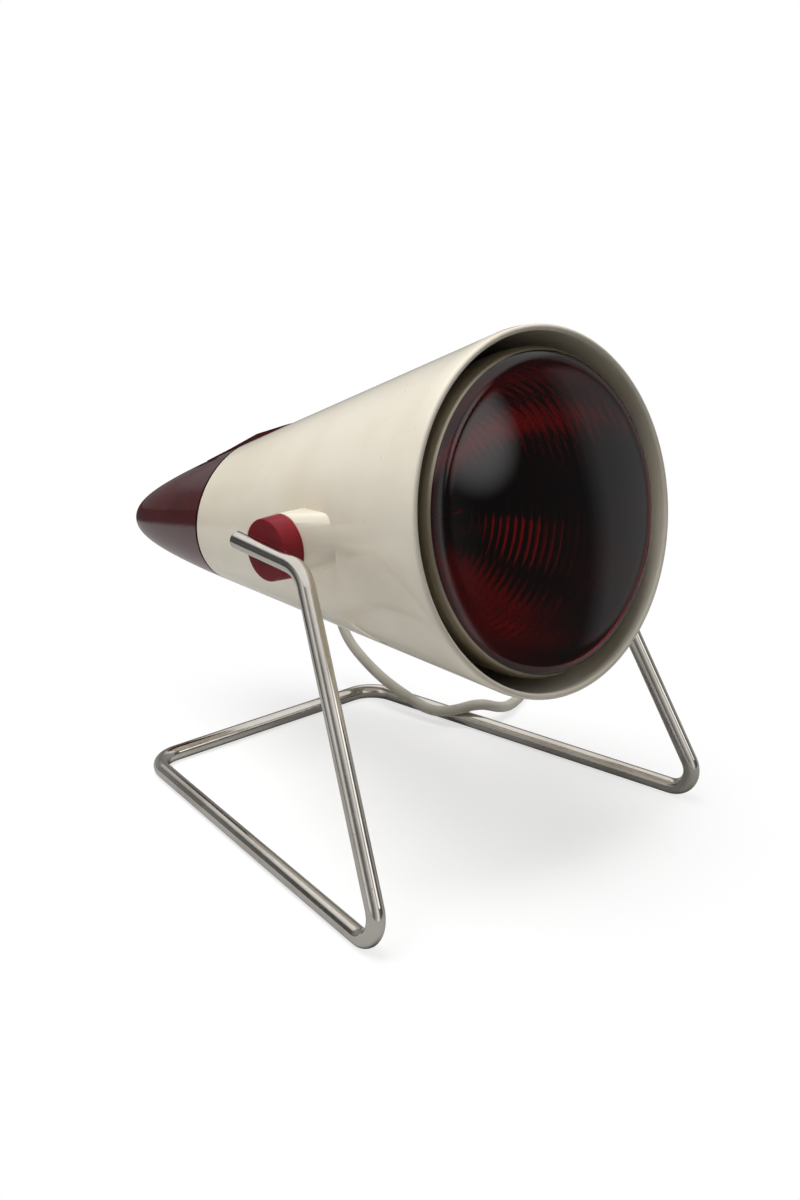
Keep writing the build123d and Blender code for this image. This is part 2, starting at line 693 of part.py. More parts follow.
def support_wire(side):
    """One support: it leaves the stem's press and spreads to an end of the filament."""
    foot_z = back(bulb_neck_end_back - stem_length)
    top_z = back(filament_back)
    foot_x_at = side * stem_r / 2
    wire, path = tube([(foot_x_at, 0, foot_z), (foot_x_at, 0, foot_z + support_spread),
                       (side * support_spread, 0, top_z - support_spread),
                       (side * support_spread, 0, top_z)], support_d, [support_d * 2] * 2)
    return wire


def bulb_filament():
    """Coiled filament, as its outer tube, hung between the tips of the two supports."""
    z = back(filament_back) + filament_d / 2
    end = support_spread + support_d / 2
    path = ThreePointArc((-end, 0, z), (0, 0, z + support_spread / 2), (end, 0, z))
    return sweep(Plane(origin=path @ 0, z_dir=path % 0) * Circle(filament_d / 2), path=path)


# ---- lamp holder ----
def lamp_holder():
    """Porcelain holder: a flanged pot with a bore for the sleeve and a thick rear wall."""
    body = ring_profile(
        (holder_bore_r + holder_chamfer, holder_front_back), (holder_flange_r - holder_chamfer, holder_front_back),
        (holder_flange_r, holder_front_back + holder_chamfer), (holder_flange_r, bracket_back),
        (holder_r, bracket_back), (holder_r, holder_rear_back - holder_chamfer),
        (holder_r - holder_chamfer, holder_rear_back), (0, holder_rear_back), (0, holder_floor_back),
        (holder_bore_r, holder_floor_back), (holder_bore_r, holder_front_back + holder_chamfer))
    return body


def holder_sleeve():
    """Brass screw shell of the holder, on its floor."""
    return disc(holder_bore_r, holder_floor_back - sleeve_length, holder_floor_back, sleeve_r)


def holder_contact():
    """Sprung brass strip: its foot lies on the holder's floor, its tongue bears on the bulb's contact."""
    t, half = contact_strip_t, contact_strip_length / 2
    bottom, top = back(holder_floor_back), back(bulb_end_back)
    side = Polyline(
        (-half, bottom), (-half / 4, bottom), (half / 4, top - t), (half, top - t), (half, top),
        (half / 4 - t, top), (-half / 4 - t, bottom + t), (-half, bottom + t), close=True)
    return extrude(Plane.XZ * make_face(side), contact_strip_w / 2, both=True)


def holder_bracket():
    """Steel strap across the cone: a ring round the holder and two drilled arms."""
    view = Circle(bracket_ring_r) + SlotOverall(2 * bracket_reach, bracket_w) - Circle(holder_r)
    for side in (1, -1):
        view = view - Pos(side * post_x, 0) * Circle(bracket_screw_d / 2)
    return Pos(0, 0, back(bracket_back)) * extrude(view, -bracket_t)


def holder_ring():
    """Notched threaded ring that clamps the holder to the strap from behind."""
    start = bracket_back + bracket_t
    ring = disc(ring_r, start, start + ring_t, holder_r)
    notch = Pos(ring_r, 0, back(start + ring_t / 2)) * Box(2.4, 5, 2 * ring_t)
    for i in range(ring_notches):
        ring = ring - Rotation(0, 0, 360 * (i + 0.5) / ring_notches) * notch
    return ring


def bracket_screw():
    """Slotted pan-head screw of the +X post."""
    seat = Pos(post_x, 0, back(bracket_back + bracket_t))
    head = Cylinder(bracket_screw_head_d / 2, bracket_screw_head_t, align=(Align.CENTER, Align.CENTER, Align.MAX))
    head = fillet(head.edges().sort_by(Axis.Z)[0], bracket_screw_head_t / 3)
    shank = Cylinder(bracket_screw_d / 2, bracket_screw_length, align=(Align.CENTER, Align.CENTER, Align.MIN))
    slot = Pos(0, 0, -bracket_screw_head_t) * Box(bracket_screw_head_d + 1, 1.1, bracket_screw_head_t)
    return seat * (head + shank - slot)


def terminal_block():
    """Brass wire terminal on the holder's rear wall, +X side."""
    middle = back(holder_rear_back + terminal_length / 2)
    block = Pos(terminal_x, 0, middle) * Box(terminal_w, terminal_w + 1, terminal_length)
    return chamfer(block.edges().filter_by(Axis.Z), 0.8)


def terminal_screw():
    """Slotted screw head on top of the +X terminal."""
    place = Pos(terminal_x, (terminal_w + 1) / 2, back(holder_rear_back + terminal_length / 2)) * Rotation(-90, 0, 0)
    head = Cylinder(terminal_screw_d / 2, terminal_screw_t, align=(Align.CENTER, Align.CENTER, Align.MIN))
    slot = Pos(0, 0, terminal_screw_t) * Box(terminal_screw_d + 1, 0.7, terminal_screw_t)
    return place * (head - slot)


def core_wire(side):
    """One core of the cord, from the end of its sheath to a terminal."""
    y = -side * (wire_d + wire_gap) / 2
    start_z = back(exit_back)
    end = (side * terminal_x, y, back(terminal_rear_back))
    if side < 0:
        points = [(sheath_inner_x, y, start_z), (end[0], y, start_z), end]
    else:
        turn_x = sheath_inner_x - wire_bend_r - wire_d
        up_z = start_z + (end[2] - start_z) / 3
        over_z = start_z + (end[2] - start_z) * 2 / 3
        points = [(sheath_inner_x, y, start_z), (turn_x, y, start_z), (turn_x, y, up_z),
                  (end[0], y, over_z), end]
    wire, path = tube(points, wire_d, [min(wire_bend_r, radius) for radius in corner_radii(points)])
    return wire


# ---- mains cord ----
def inner_cord():
    """The cord's sheath inside the lamp, from the cores' exit through the strain relief."""
    return rod_x(cord_r, sheath_inner_x, exit_seat_x + relief_length, 0, back(exit_back))


def cord_clamp():
    """Steel strip that presses the cord on its pad."""
    bar = Pos(clamp_x, cord_r + clamp_t / 2, back(exit_back)) * Box(
        clamp_w, clamp_t, 2 * clamp_reach + clamp_screw_head_d)
    bar = fillet(bar.edges().filter_by(Axis.Y), clamp_w / 4)
    for side in (1, -1):
        bar = bar - clamp_screw_place(side) * Cylinder(clamp_screw_d / 2, 4 * clamp_t)
    return bar


def clamp_screw(side):
    """One slotted cheese-head screw of the clamp."""
    head = Cylinder(clamp_screw_head_d / 2, clamp_screw_head_t, align=(Align.CENTER, Align.CENTER, Align.MIN))
    shank = Cylinder(clamp_screw_d / 2, clamp_screw_length, align=(Align.CENTER, Align.CENTER, Align.MAX))
    slot = Pos(0, 0, clamp_screw_head_t) * Box(clamp_screw_head_d + 1, 0.9, clamp_screw_head_t)
    return clamp_screw_place(side) * (head + shank - slot)


def grooved_taper(root_r, tip_r, length):
    """Tapered rubber sleeve along +Z with turned grooves, from its root at the origin."""
    body = Cone(root_r, tip_r, length, align=(Align.CENTER, Align.CENTER, Align.MIN))
    for i in range(relief_grooves):
        z = length * (i + 0.9) / (relief_grooves + 0.8)
        surface_r = root_r + (tip_r - root_r) * z / length
        ring = Cylinder(2 * root_r, relief_groove_w) - Cylinder(surface_r - relief_groove_depth, relief_groove_w)
        body = body - Pos(0, 0, z) * ring
    return body


def cord_strain_relief():
    """Rubber relief held in the cap's seat between two flanges, with the cord through it."""
    z = back(exit_back)
    seat_inner_x = exit_seat_x - exit_seat_depth
    inner_flange = rod_x(relief_flange_r, seat_inner_x - relief_flange_t, seat_inner_x, 0, z)
    neck = rod_x(relief_neck_r, seat_inner_x, exit_seat_x, 0, z)
    outer_flange = rod_x(relief_flange_r, exit_seat_x, exit_seat_x + relief_flange_t, 0, z)
    taper = Location((exit_seat_x, 0, z), (0, 90, 0)) * grooved_taper(relief_root_r, relief_tip_r, relief_length)
    return inner_flange + neck + outer_flange + taper - rod_x(cord_r, 0, exit_seat_x + relief_length + 1, 0, z)


def coil_section(grow=0.0):
    """Section of the coiled turns in X (radius) and Z, standing on the table."""
    section = RectangleRounded(coil_w + 2 * grow, coil_h + 2 * grow, coil_round + grow)
    return Plane.XZ * Pos(coil_r, coil_h / 2 + tie_t) * section


def cord_coil():
    """Outer shape of the coiled cord, with the stubs where the free lengths join it."""
    place = Pos(*coil_centre, 0)
    coil = place * revolve(coil_section(), Axis.Z)
    side_y = math.sqrt((coil_r + coil_w / 2) ** 2 - coil_r ** 2)
    for end, inward in ((cord_points[-1], 1), (tail_points[0], -1)):
        length = abs(coil_centre[1] - end[1]) - side_y + coil_stub
        stub = Pos(*end) * Rotation(-90 * inward, 0, 0) * Cylinder(
            cord_r, length, align=(Align.CENTER, Align.CENTER, Align.MIN))
        coil = coil + stub
    return coil


def coil_tie():
    """Band round the coiled turns on the side away from the stubs."""
    band = revolve(coil_section(tie_t) - coil_section(), Axis.Z, revolution_arc=tie_w_deg)
    return Pos(*coil_centre, 0) * Rotation(0, 0, -tie_w_deg / 2) * band


def plug_relief():
    """Grooved taper where the cord enters the plug."""
    start = tail_points[-1]
    body = grooved_taper(relief_root_r, relief_tip_r, plug_relief_length)
    return Location((start[0] + plug_relief_length, start[1], start[2]), (0, -90, 0)) * body


def plug_body():
    """Flat two-pin plug, wide at the pins and narrow at the cord."""
    x, y, z = tail_points[-1]
    x += plug_relief_length
    front, rear = plug_front_w / 2, plug_rear_w / 2
    waist = x + plug_length * 0.45
    view = make_face(Polyline(
        (x, y - rear), (waist, y - front), (x + plug_length, y - front), (x + plug_length, y + front),
        (waist, y + front), (x, y + rear), close=True))
    body = Pos(0, 0, z) * extrude(view, plug_t / 2, both=True)
    return fillet(body.edges().filter_by(Axis.Z) + body.faces().sort_by(Axis.X)[-1].edges(), plug_edge_r)


def plug_pin(side):
    """One round plug pin with a rounded tip."""
    x, y, z = tail_points[-1]
    x += plug_relief_length + plug_length
    pin = rod_x(pin_d / 2, x, x + pin_length, y + side * pin_pitch / 2, z)
    return fillet(pin.edges().sort_by(Axis.X)[-1], pin_d / 4)


# ---- all nodes ----
def save(node, shape):
    """Writes one node."""
    export_step(shape, f"parts/{node}.step")


def save_lamp(node, shape):
    """Writes a node that was made in the lamp's own frame, at its place on the stand."""
    save(node, lamp_place * shape)


os.makedirs("parts", exist_ok=True)

save("stand_rod", stand_rod())
save("knob_right", knob())
save("knob_left", mirrored(knob()))
save("pivot_bolts", pair(pivot_bolt()))
save("spring_washers", pair(spring_washer()))
save("lock_nuts", pair(lock_nut()))

save_lamp("housing_cone", housing_cone())
save_lamp("rear_cap", rear_cap())
save_lamp("cap_screw", cap_screw())
save_lamp("pivot_bushes", pair(pivot_bush()))

save_lamp("bulb_lens", bulb_lens())
save_lamp("bulb_reflector", bulb_reflector())
save_lamp("bulb_base", bulb_base())
save_lamp("bulb_base_insulator", bulb_base_insulator())
save_lamp("bulb_contact", bulb_contact())
save_lamp("bulb_stem", bulb_stem())
save_lamp("bulb_supports", Compound(children=[support_wire(1), support_wire(-1)]))
save_lamp("bulb_filament", bulb_filament())

save_lamp("lamp_holder", lamp_holder())
save_lamp("holder_sleeve", holder_sleeve())
save_lamp("holder_contact", holder_contact())
save_lamp("holder_bracket", holder_bracket())
save_lamp("holder_ring", holder_ring())
save_lamp("bracket_screws", pair(bracket_screw()))
save_lamp("terminal_blocks", pair(terminal_block()))
save_lamp("terminal_screws", pair(terminal_screw()))
save_lamp("live_wire", core_wire(1))
save_lamp("neutral_wire", core_wire(-1))

save_lamp("inner_cord", inner_cord())
save_lamp("cord_clamp", cord_clamp())
save_lamp("clamp_screws", Compound(children=[clamp_screw(1), clamp_screw(-1)]))
save_lamp("cord_strain_relief", cord_strain_relief())

for node, points in (("cord", cord_points), ("cord_tail", tail_points)):
    radii = corner_radii(points)
    solid, path = tube(points, cord_d, radii)
    print(node, "length", round(path.length, 1), "radii", [round(r, 1) for r in radii],
          "volume ratio", round(solid.volume / (math.pi * cord_r ** 2 * path.length), 5))
    save(node, solid)
print("coiled length", round(2 * math.pi * coil_r * (coil_turns_wide * coil_turns_high - 1), 1))
save("cord_coil", cord_coil())
save("coil_tie", coil_tie())
save("plug_relief", plug_relief())
save("plug_body", plug_body())
save("plug_pins", Compound(children=[plug_pin(1), plug_pin(-1)]))
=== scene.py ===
import json
import math

import bpy
from mathutils import Matrix, Vector


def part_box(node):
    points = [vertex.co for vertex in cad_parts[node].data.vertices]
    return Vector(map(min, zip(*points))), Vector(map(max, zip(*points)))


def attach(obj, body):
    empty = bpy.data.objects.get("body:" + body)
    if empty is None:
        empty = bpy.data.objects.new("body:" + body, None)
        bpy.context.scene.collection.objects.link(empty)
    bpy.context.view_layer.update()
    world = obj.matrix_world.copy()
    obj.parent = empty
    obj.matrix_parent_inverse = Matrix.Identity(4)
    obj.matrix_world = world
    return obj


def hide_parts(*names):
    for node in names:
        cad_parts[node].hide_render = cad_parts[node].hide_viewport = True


# Infrared heat therapy lamp. Metres, +Z up, the light leaves towards -Y. The sections follow the
# lamp as it is put together: camera, stand, knobs, hinge, cord, shell, cap, bulb, holder, studio.

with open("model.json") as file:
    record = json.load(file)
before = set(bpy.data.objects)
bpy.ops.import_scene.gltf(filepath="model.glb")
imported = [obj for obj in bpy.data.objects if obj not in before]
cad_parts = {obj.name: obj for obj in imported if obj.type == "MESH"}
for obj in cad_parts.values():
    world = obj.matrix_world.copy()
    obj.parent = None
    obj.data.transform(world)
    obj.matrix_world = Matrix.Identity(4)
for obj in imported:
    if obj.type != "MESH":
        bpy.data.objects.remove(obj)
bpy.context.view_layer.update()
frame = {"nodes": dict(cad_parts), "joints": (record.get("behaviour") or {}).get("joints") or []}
mm = 0.001


# ---- Camera ----
# A portrait camera a little above the lamp, to the left of the side that the light leaves by.
# It is tilted by half a degree about its own line of sight.
camera_place = Vector((-384.52, -418.27, 285.90)) * mm
camera_target = Vector((-5.65, -5.32, 96.53)) * mm
camera_roll_deg = 0.49
camera_lens_mm = 41.216
camera_sensor_mm = 36.0

bpy.ops.object.camera_add()
camera = bpy.context.object
look = (camera_target - camera_place).to_track_quat("-Z", "Y").to_matrix().to_4x4()
roll = Matrix.Rotation(math.radians(camera_roll_deg), 4, "Z")
camera.matrix_world = Matrix.Translation(camera_place) @ look @ roll
camera.data.lens = camera_lens_mm
camera.data.sensor_width = camera_sensor_mm
bpy.context.scene.camera = camera


# ---- Stand rod ----
# One length of bright-nickelled steel rod, bent cold to its six corners and polished. It keeps fine
# draw marks, a grey bloom where it is handled and small pits in the plating.
nickel_colour = (0.69, 0.655, 0.60, 1)
nickel_bloom_colour = (0.55, 0.515, 0.46, 1)
nickel_pit_colour = (0.16, 0.14, 0.12, 1)
nickel_roughness = (0.08, 0.19)
nickel_pit_depth = 0.04 * mm


def new_finish(name, colour, **constants):
    """A material with its Principled shader set to plain values; the sections wire the rest."""
    finish = bpy.data.materials.new(name)
    finish.use_nodes = True
    shader = finish.node_tree.nodes["Principled BSDF"]
    for socket, value in {"Base_Color": colour, **constants}.items():
        shader.inputs[socket.replace("_", " ")].default_value = value
    return finish


def add_node(tree, kind, settings=None, **values):
    """A shader node with its settings and unlinked inputs; a value that is a socket is linked."""
    node = tree.nodes.new(kind)
    for setting, value in (settings or {}).items():
        setattr(node, setting, value)
    for name, value in values.items():
        socket = node.inputs[int(name[1:]) if name[0] == "_" else name.replace("_", " ")]
        if isinstance(value, bpy.types.NodeSocket):
            tree.links.new(value, socket)
        else:
            socket.default_value = value
    return node


def calculate(tree, operation, first, second=0.0):
    """A sum on two numbers or sockets."""
    return add_node(tree, "ShaderNodeMath", {"operation": operation}, _0=first, _1=second).outputs[0]


def calculate_way(tree, operation, first, second=(0, 0, 0)):
    """A sum on two vectors. A length and a dot product come out as a number."""
    node = add_node(tree, "ShaderNodeVectorMath", {"operation": operation}, _0=first, _1=second)
    return node.outputs["Value" if operation in ("LENGTH", "DOT_PRODUCT") else "Vector"]


def rise(tree, value, low, high, top=1.0):
    """Rises smoothly from 0 to the top as the value goes from low to high."""
    ramp = add_node(tree, "ShaderNodeMapRange", {"interpolation_type": "SMOOTHSTEP"}, Value=value,
                    From_Min=low, From_Max=high, To_Max=top)
    return ramp.outputs[0]


def new_effect(name, inputs, outputs):
    """A shader node group with named inputs and their usual values, and named outputs."""
    effect = bpy.data.node_groups.new(name, "ShaderNodeTree")
    for label, value in inputs.items():
        socket = effect.interface.new_socket(label, in_out="INPUT", socket_type="NodeSocketFloat")
        socket.default_value = value
    for label in outputs:
        effect.interface.new_socket(label, in_out="OUTPUT", socket_type="NodeSocketFloat")
    return effect, effect.nodes.new("NodeGroupInput").outputs, effect.nodes.new("NodeGroupOutput").inputs


def use_effect(finish, effect, **values):
    """The effect's outputs, placed in a finish with its own values."""
    node = add_node(finish.node_tree, "ShaderNodeGroup", {"node_tree": effect}, **values)
    return node.outputs


def blend(finish, share, first, second):
    """A colour that runs from the first to the second as the share goes from 0 to 1."""
    mix = add_node(finish.node_tree, "ShaderNodeMix", {"data_type": "RGBA"}, _0=share, _6=first, _7=second)
    return mix.outputs[2]


def between(finish, share, low, high):
    """A number that runs from low to high as the share goes from 0 to 1."""
    return add_node(finish.node_tree, "ShaderNodeMapRange", Value=share, To_Min=low, To_Max=high).outputs[0]


def wire(finish, socket, source):
    """Links a source to an input of the finish's shader."""
    finish.node_tree.links.new(source, finish.node_tree.nodes["Principled BSDF"].inputs[socket])


def relief(finish, height, depth):
    """Turns a height into the finish's surface relief, this deep where the height goes from 0 to 1."""
    bump = add_node(finish.node_tree, "ShaderNodeBump", Strength=1.0, Distance=depth, Height=height)
    wire(finish, "Normal", bump.outputs[0])


def dress(finish, *nodes):
    """Gives the finish to frame nodes."""
    for node in nodes:
        for slot in frame["nodes"][node].material_slots:
            slot.material = finish


# Cloudy patches of a given size, sharpened to a share from 0 to 1.
usual = {"Size": 0.01, "Low": 0.35, "High": 0.65, "Detail": 4}
clouds, given, out = new_effect("clouds", usual, ["Share"])
place = add_node(clouds, "ShaderNodeTexCoord").outputs["Object"]
per_metre = calculate(clouds, "DIVIDE", 1.0, given["Size"])
noise = add_node(clouds, "ShaderNodeTexNoise", Vector=place, Scale=per_metre, Detail=given["Detail"])
clouds.links.new(rise(clouds, noise.outputs[0], given["Low"], given["High"]), out["Share"])

# A mask along convex edges, where a rounded-off normal leaves the true one, broken up by patches.
# It paints rub wear with a painted highlight on the knobs and painted shade on the cap. The cosine
# of the turn between the two says where the marking starts and where it is full.
edge_marking_starts = 0.985
edge_marking_full = 0.85
usual = {"Reach": 0.0006, "Patch": 0.004, "Low": 0.4, "High": 0.6}
worn_and_shaded_edges, given, out = new_effect("worn and shaded edges", usual, ["Share"])
rounded = add_node(worn_and_shaded_edges, "ShaderNodeBevel", {"samples": 6}, Radius=given["Reach"]).outputs[0]
true_normal = add_node(worn_and_shaded_edges, "ShaderNodeNewGeometry").outputs["Normal"]
alike = calculate_way(worn_and_shaded_edges, "DOT_PRODUCT", rounded, true_normal)
edge = add_node(worn_and_shaded_edges, "ShaderNodeMapRange", Value=alike, From_Min=edge_marking_starts, From_Max=edge_marking_full)
patches = add_node(worn_and_shaded_edges, "ShaderNodeGroup", {"node_tree": clouds}, Size=given["Patch"],
                   Low=given["Low"], High=given["High"])
worn_and_shaded_edges.links.new(calculate(worn_and_shaded_edges, "MULTIPLY", edge.outputs[0], patches.outputs[0]), out["Share"])

nickel = new_finish("bright nickel", nickel_colour, Metallic=1.0)
bloom = use_effect(nickel, clouds, Size=0.03, Low=0.42, High=0.75)["Share"]
pits = use_effect(nickel, clouds, Size=0.0011, Low=0.70, High=0.76)["Share"]
marks = use_effect(nickel, clouds, Size=0.0035, Low=0.30, High=0.70, Detail=8)["Share"]
bloomed = blend(nickel, bloom, nickel_colour, nickel_bloom_colour)
wire(nickel, "Base Color", blend(nickel, pits, bloomed, nickel_pit_colour))
wire(nickel, "Roughness", between(nickel, marks, *nickel_roughness))
relief(nickel, pits, -nickel_pit_depth)
dress(nickel, "stand_rod")


# ---- Knobs ----
# Two turned knobs of compression-moulded red plastic. Each has a satin side, a groove in its face
# that the stand's arm lies in, and lighter edges: rub wear from fingers and a painted highlight.
knob_colour = (0.215, 0.0045, 0.012, 1)
knob_dark_colour = (0.160, 0.0033, 0.009, 1)
# lighter edges: rub wear and a painted highlight
knob_rub_highlight_colour = (0.48, 0.06, 0.07, 1)
knob_roughness = (0.30, 0.44)
knob_grain_depth = 0.012 * mm

knob_red = new_finish("moulded red", knob_colour, Specular_IOR_Level=0.32)
flow = use_effect(knob_red, clouds, Size=0.009, Low=0.3, High=0.7, Detail=3)["Share"]
# Rub wear and a painted highlight lighten the knobs' convex edges.
rubbed_and_highlit = use_effect(knob_red, worn_and_shaded_edges, Reach=0.7 * mm, Patch=0.003, Low=0.35, High=0.65)["Share"]
grain = use_effect(knob_red, clouds, Size=0.0005, Low=0.2, High=0.8, Detail=2)["Share"]
flowed = blend(knob_red, flow, knob_colour, knob_dark_colour)
wire(knob_red, "Base Color", blend(knob_red, rubbed_and_highlit, flowed, knob_rub_highlight_colour))
wire(knob_red, "Roughness", between(knob_red, grain, *knob_roughness))
relief(knob_red, grain, knob_grain_depth)
dress(knob_red, "knob_right", "knob_left")


# ---- Tilt hinge ----
# Zinc-plated pivots, dished washers and lock nuts inside the shell, with nylon bushes in the
# shell's pads. The plating is a dull blue-grey with a faint spangle.
zinc_colour = (0.56, 0.58, 0.60, 1)
zinc_spangle_colour = (0.38, 0.40, 0.42, 1)
zinc_roughness = (0.28, 0.45)
nylon_colour = (0.72, 0.70, 0.62, 1)
nylon_shade_colour = (0.60, 0.57, 0.47, 1)
nylon_roughness = (0.34, 0.48)

zinc = new_finish("zinc plating", zinc_colour, Metallic=1.0)
spangle = use_effect(zinc, clouds, Size=0.002, Low=0.35, High=0.6)["Share"]
wire(zinc, "Base Color", blend(zinc, spangle, zinc_colour, zinc_spangle_colour))
wire(zinc, "Roughness", between(zinc, spangle, *zinc_roughness))
dress(zinc, "pivot_bolts", "spring_washers", "lock_nuts", "cap_screw", "bracket_screws", "clamp_screws",
      "terminal_screws", "holder_bracket", "holder_ring")

nylon = new_finish("nylon", nylon_colour)
tint = use_effect(nylon, clouds, Size=0.006)["Share"]
wire(nylon, "Base Color", blend(nylon, tint, nylon_colour, nylon_shade_colour))
wire(nylon, "Roughness", between(nylon, tint, *nylon_roughness))
dress(nylon, "pivot_bushes", "cord_clamp")


# ---- Mains cord ----
# 1.8 m of limp round two-core cord in pale grey-beige sheath. It leaves the cap's right side, drops
# behind the lamp, crosses the right-hand rail, and its spare length lies in a tied coil by its plug.
cord_d = 5.4 * mm
cord_route = [
    (49.5, 134.84, 103.88), (62.5, 134.84, 103.88), (73.0, 134.8, 94.4), (76.8, 134.8, 79.0),
    (76.5, 134.0, 58.0), (72.4, 130.5, 38.5), (67.5, 117.0, 27.5), (65.0, 101.0, 20.8),
    (64.2, 83.5, 14.4), (65.6, 67.0, 9.6), (67.6, 51.0, 5.6), (71.6, 38.5, 8.4),
    (83.0, 30.5, 12.4), (98.0, 29.0, 5.6), (113.0, 34.0, 3.0), (128.0, 41.0, 3.2),
    (137.0, 51.0, 3.6), (140.9, 64.0, 3.7), (140.9, 77.0, 3.7), (140.9, 90.0, 3.7),
]
cord_tail = [
    (140.9, 118.0, 14.5), (142.0, 131.0, 12.6), (146.0, 146.0, 7.0), (153.0, 160.0, 4.4),
    (166.0, 170.0, 6.2), (182.0, 173.0, 6.9), (197.0, 173.0, 6.9),
]
coil_centre = Vector((173.5, 104.0)) * mm
coil_r = 27.2 * mm
coil_row_z = 3.7 * mm            # middle of the lowest row of turns
coil_pitch = 5.5 * mm            # from one turn to the turn beside or above it
coil_turn_points = 24
# Where each turn starts, as columns out from the middle and rows up, and where the last one ends.
coil_slots = [(1, 0), (0, 0), (-1, 0), (-1, 1), (-1, 2), (0, 2), (0, 1), (1, 1), (1, 2)]
# Each turn moves over in one stretch of its circle, after the next turn has left room for it.
coil_moves = [5, 5, 4, 4, 3, 2, 1, 0]
coil_move_first_deg = 33.0
coil_move_deg = 48.8


def coil_turns():
    """Control points of the coil: whole turns, clockwise seen from above, from its left side."""
    step = 360 / coil_turn_points
    pull = 1 / math.cos(math.radians(step / 2))
    for turn, ((column, row), (next_column, next_row)) in enumerate(zip(coil_slots, coil_slots[1:])):
        for i in range(coil_turn_points):
            angle = (i + 0.5) * step
            moved = (angle - coil_move_first_deg) / coil_move_deg - coil_moves[turn]
            moved = min(max(moved, 0), 1)
            radius = coil_r + coil_pitch * (column + (next_column - column) * moved)
            height = coil_row_z + coil_pitch * (row + (next_row - row) * moved)
            out_x = -radius * pull * math.cos(math.radians(angle))
            out_y = radius * pull * math.sin(math.radians(angle))
            yield coil_centre.x + out_x, coil_centre.y + out_y, height


cord_points = [Vector(point) * mm for point in cord_route]
cord_points += [Vector(point) for point in coil_turns()]
cord_points += [Vector(point) * mm for point in cord_tail]
line = bpy.data.curves.new("mains_cord", "CURVE")
line.dimensions = "3D"
line.bevel_depth = 1.0            # metres for a point of radius 1; each point has the cord's
line.bevel_resolution = 5
line.resolution_u = 6
spline = line.splines.new("NURBS")
spline.points.add(len(cord_points) - 1)
for point, spot in zip(spline.points, cord_points):
    point.co = (*spot, 1)
    point.radius = cord_d / 2
spline.order_u = 3
spline.use_endpoint_u = True
mains_cord = bpy.data.objects.new("mains_cord", line)
bpy.context.scene.collection.objects.link(mains_cord)
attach(mains_cord, "stand")
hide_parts("cord", "cord_coil", "cord_tail")

sheath_colour = (0.520, 0.490, 0.420, 1)
sheath_grime_colour = (0.380, 0.350, 0.290, 1)
sheath_roughness = (0.42, 0.62)
sheath_grain_depth = 0.02 * mm
sheath = new_finish("cord sheath", sheath_colour)
grime = use_effect(sheath, clouds, Size=0.02, Low=0.4, High=0.8)["Share"]
grain = use_effect(sheath, clouds, Size=0.0008, Low=0.2, High=0.8, Detail=2)["Share"]
wire(sheath, "Base Color", blend(sheath, grime, sheath_colour, sheath_grime_colour))
wire(sheath, "Roughness", between(sheath, grime, *sheath_roughness))
relief(sheath, grain, sheath_grain_depth)
line.materials.append(sheath)
dress(sheath, "inner_cord")

rubber_colour = (0.43, 0.40, 0.34, 1)
rubber_bloom_colour = (0.52, 0.49, 0.43, 1)
rubber_roughness = (0.55, 0.72)
rubber = new_finish("relief rubber", rubber_colour)
chalk = use_effect(rubber, clouds, Size=0.004, Low=0.4, High=0.7)["Share"]
wire(rubber, "Base Color", blend(rubber, chalk, rubber_colour, rubber_bloom_colour))
wire(rubber, "Roughness", between(rubber, chalk, *rubber_roughness))
dress(rubber, "cord_strain_relief", "plug_relief")

plug_colour = (0.66, 0.61, 0.50, 1)
plug_rub_colour = (0.60, 0.55, 0.435, 1)
plug_roughness = (0.3, 0.48)
plug_cream = new_finish("plug cream", plug_colour)
handled = use_effect(plug_cream, clouds, Size=0.012, Low=0.4, High=0.75)["Share"]
wire(plug_cream, "Base Color", blend(plug_cream, handled, plug_colour, plug_rub_colour))
wire(plug_cream, "Roughness", between(plug_cream, handled, *plug_roughness))
dress(plug_cream, "plug_body")
dress(nickel, "plug_pins")

tie_colour = (0.020, 0.020, 0.021, 1)
tie_grey_colour = (0.05, 0.05, 0.052, 1)
tie_roughness = (0.4, 0.6)
tie_black = new_finish("tie black", tie_colour)
scuff = use_effect(tie_black, clouds, Size=0.003)["Share"]
wire(tie_black, "Base Color", blend(tie_black, scuff, tie_colour, tie_grey_colour))
wire(tie_black, "Roughness", between(tie_black, scuff, *tie_roughness))
dress(tie_black, "coil_tie")


# ---- Cone shell ----
# Deep-moulded cream urea shell: a plain cone with a thin rounded lip, a pad that runs out on the cone
# ahead of each hinge and is bored for its bush, and two posts inside for the holder's strap.
lamp_tilt_deg = 11.95
lamp_axis_rise = 1.07 * mm       # the lamp's axis passes this far above the hinge
rim_forward = 83.2 * mm          # from the hinge to the plane of the rim, along the axis
rim_r = 72.2 * mm                # where the cone's line would meet the plane of the rim
cone_slope = math.tan(math.radians(11.0))
shell_wall = 2.4 * mm
lip_r = 1.25 * mm
lip_middle = (70.05 * mm, 1.75 * mm)             # middle of its round: radius, distance behind the rim
lip_steps = 12
lip_ease = 4.5 * mm              # the outside eases in towards the lip from here
wall_rings = [130 * mm, 60 * mm, 30 * mm, 12 * mm]           # rings of points along the wall
seam_back = 195.1 * mm
seam_slant_deg = 19.0
seam_open = 0.80 * mm            # the shell ends this far ahead of the cap's edge
cap_screw_back = seam_back + 7.0 * mm
cap_screw_r = 3.35 * mm
pad_r = 13.2 * mm
pad_front_r = 10.6 * mm
pad_front = 17.5 * mm            # middle of its front disc, ahead of the hinge
pad_front_x = 58.3 * mm          # there the pad has run out on the cone
pad_edge_r = 1.8 * mm
pad_edge_steps = 4
pad_sharp_deg = 40               # edges sharper than this are rounded
pad_from_x = 50.0 * mm           # its inner end, before the cavity is cut out
bush_r = 4.5 * mm
bush_length = 15.0 * mm
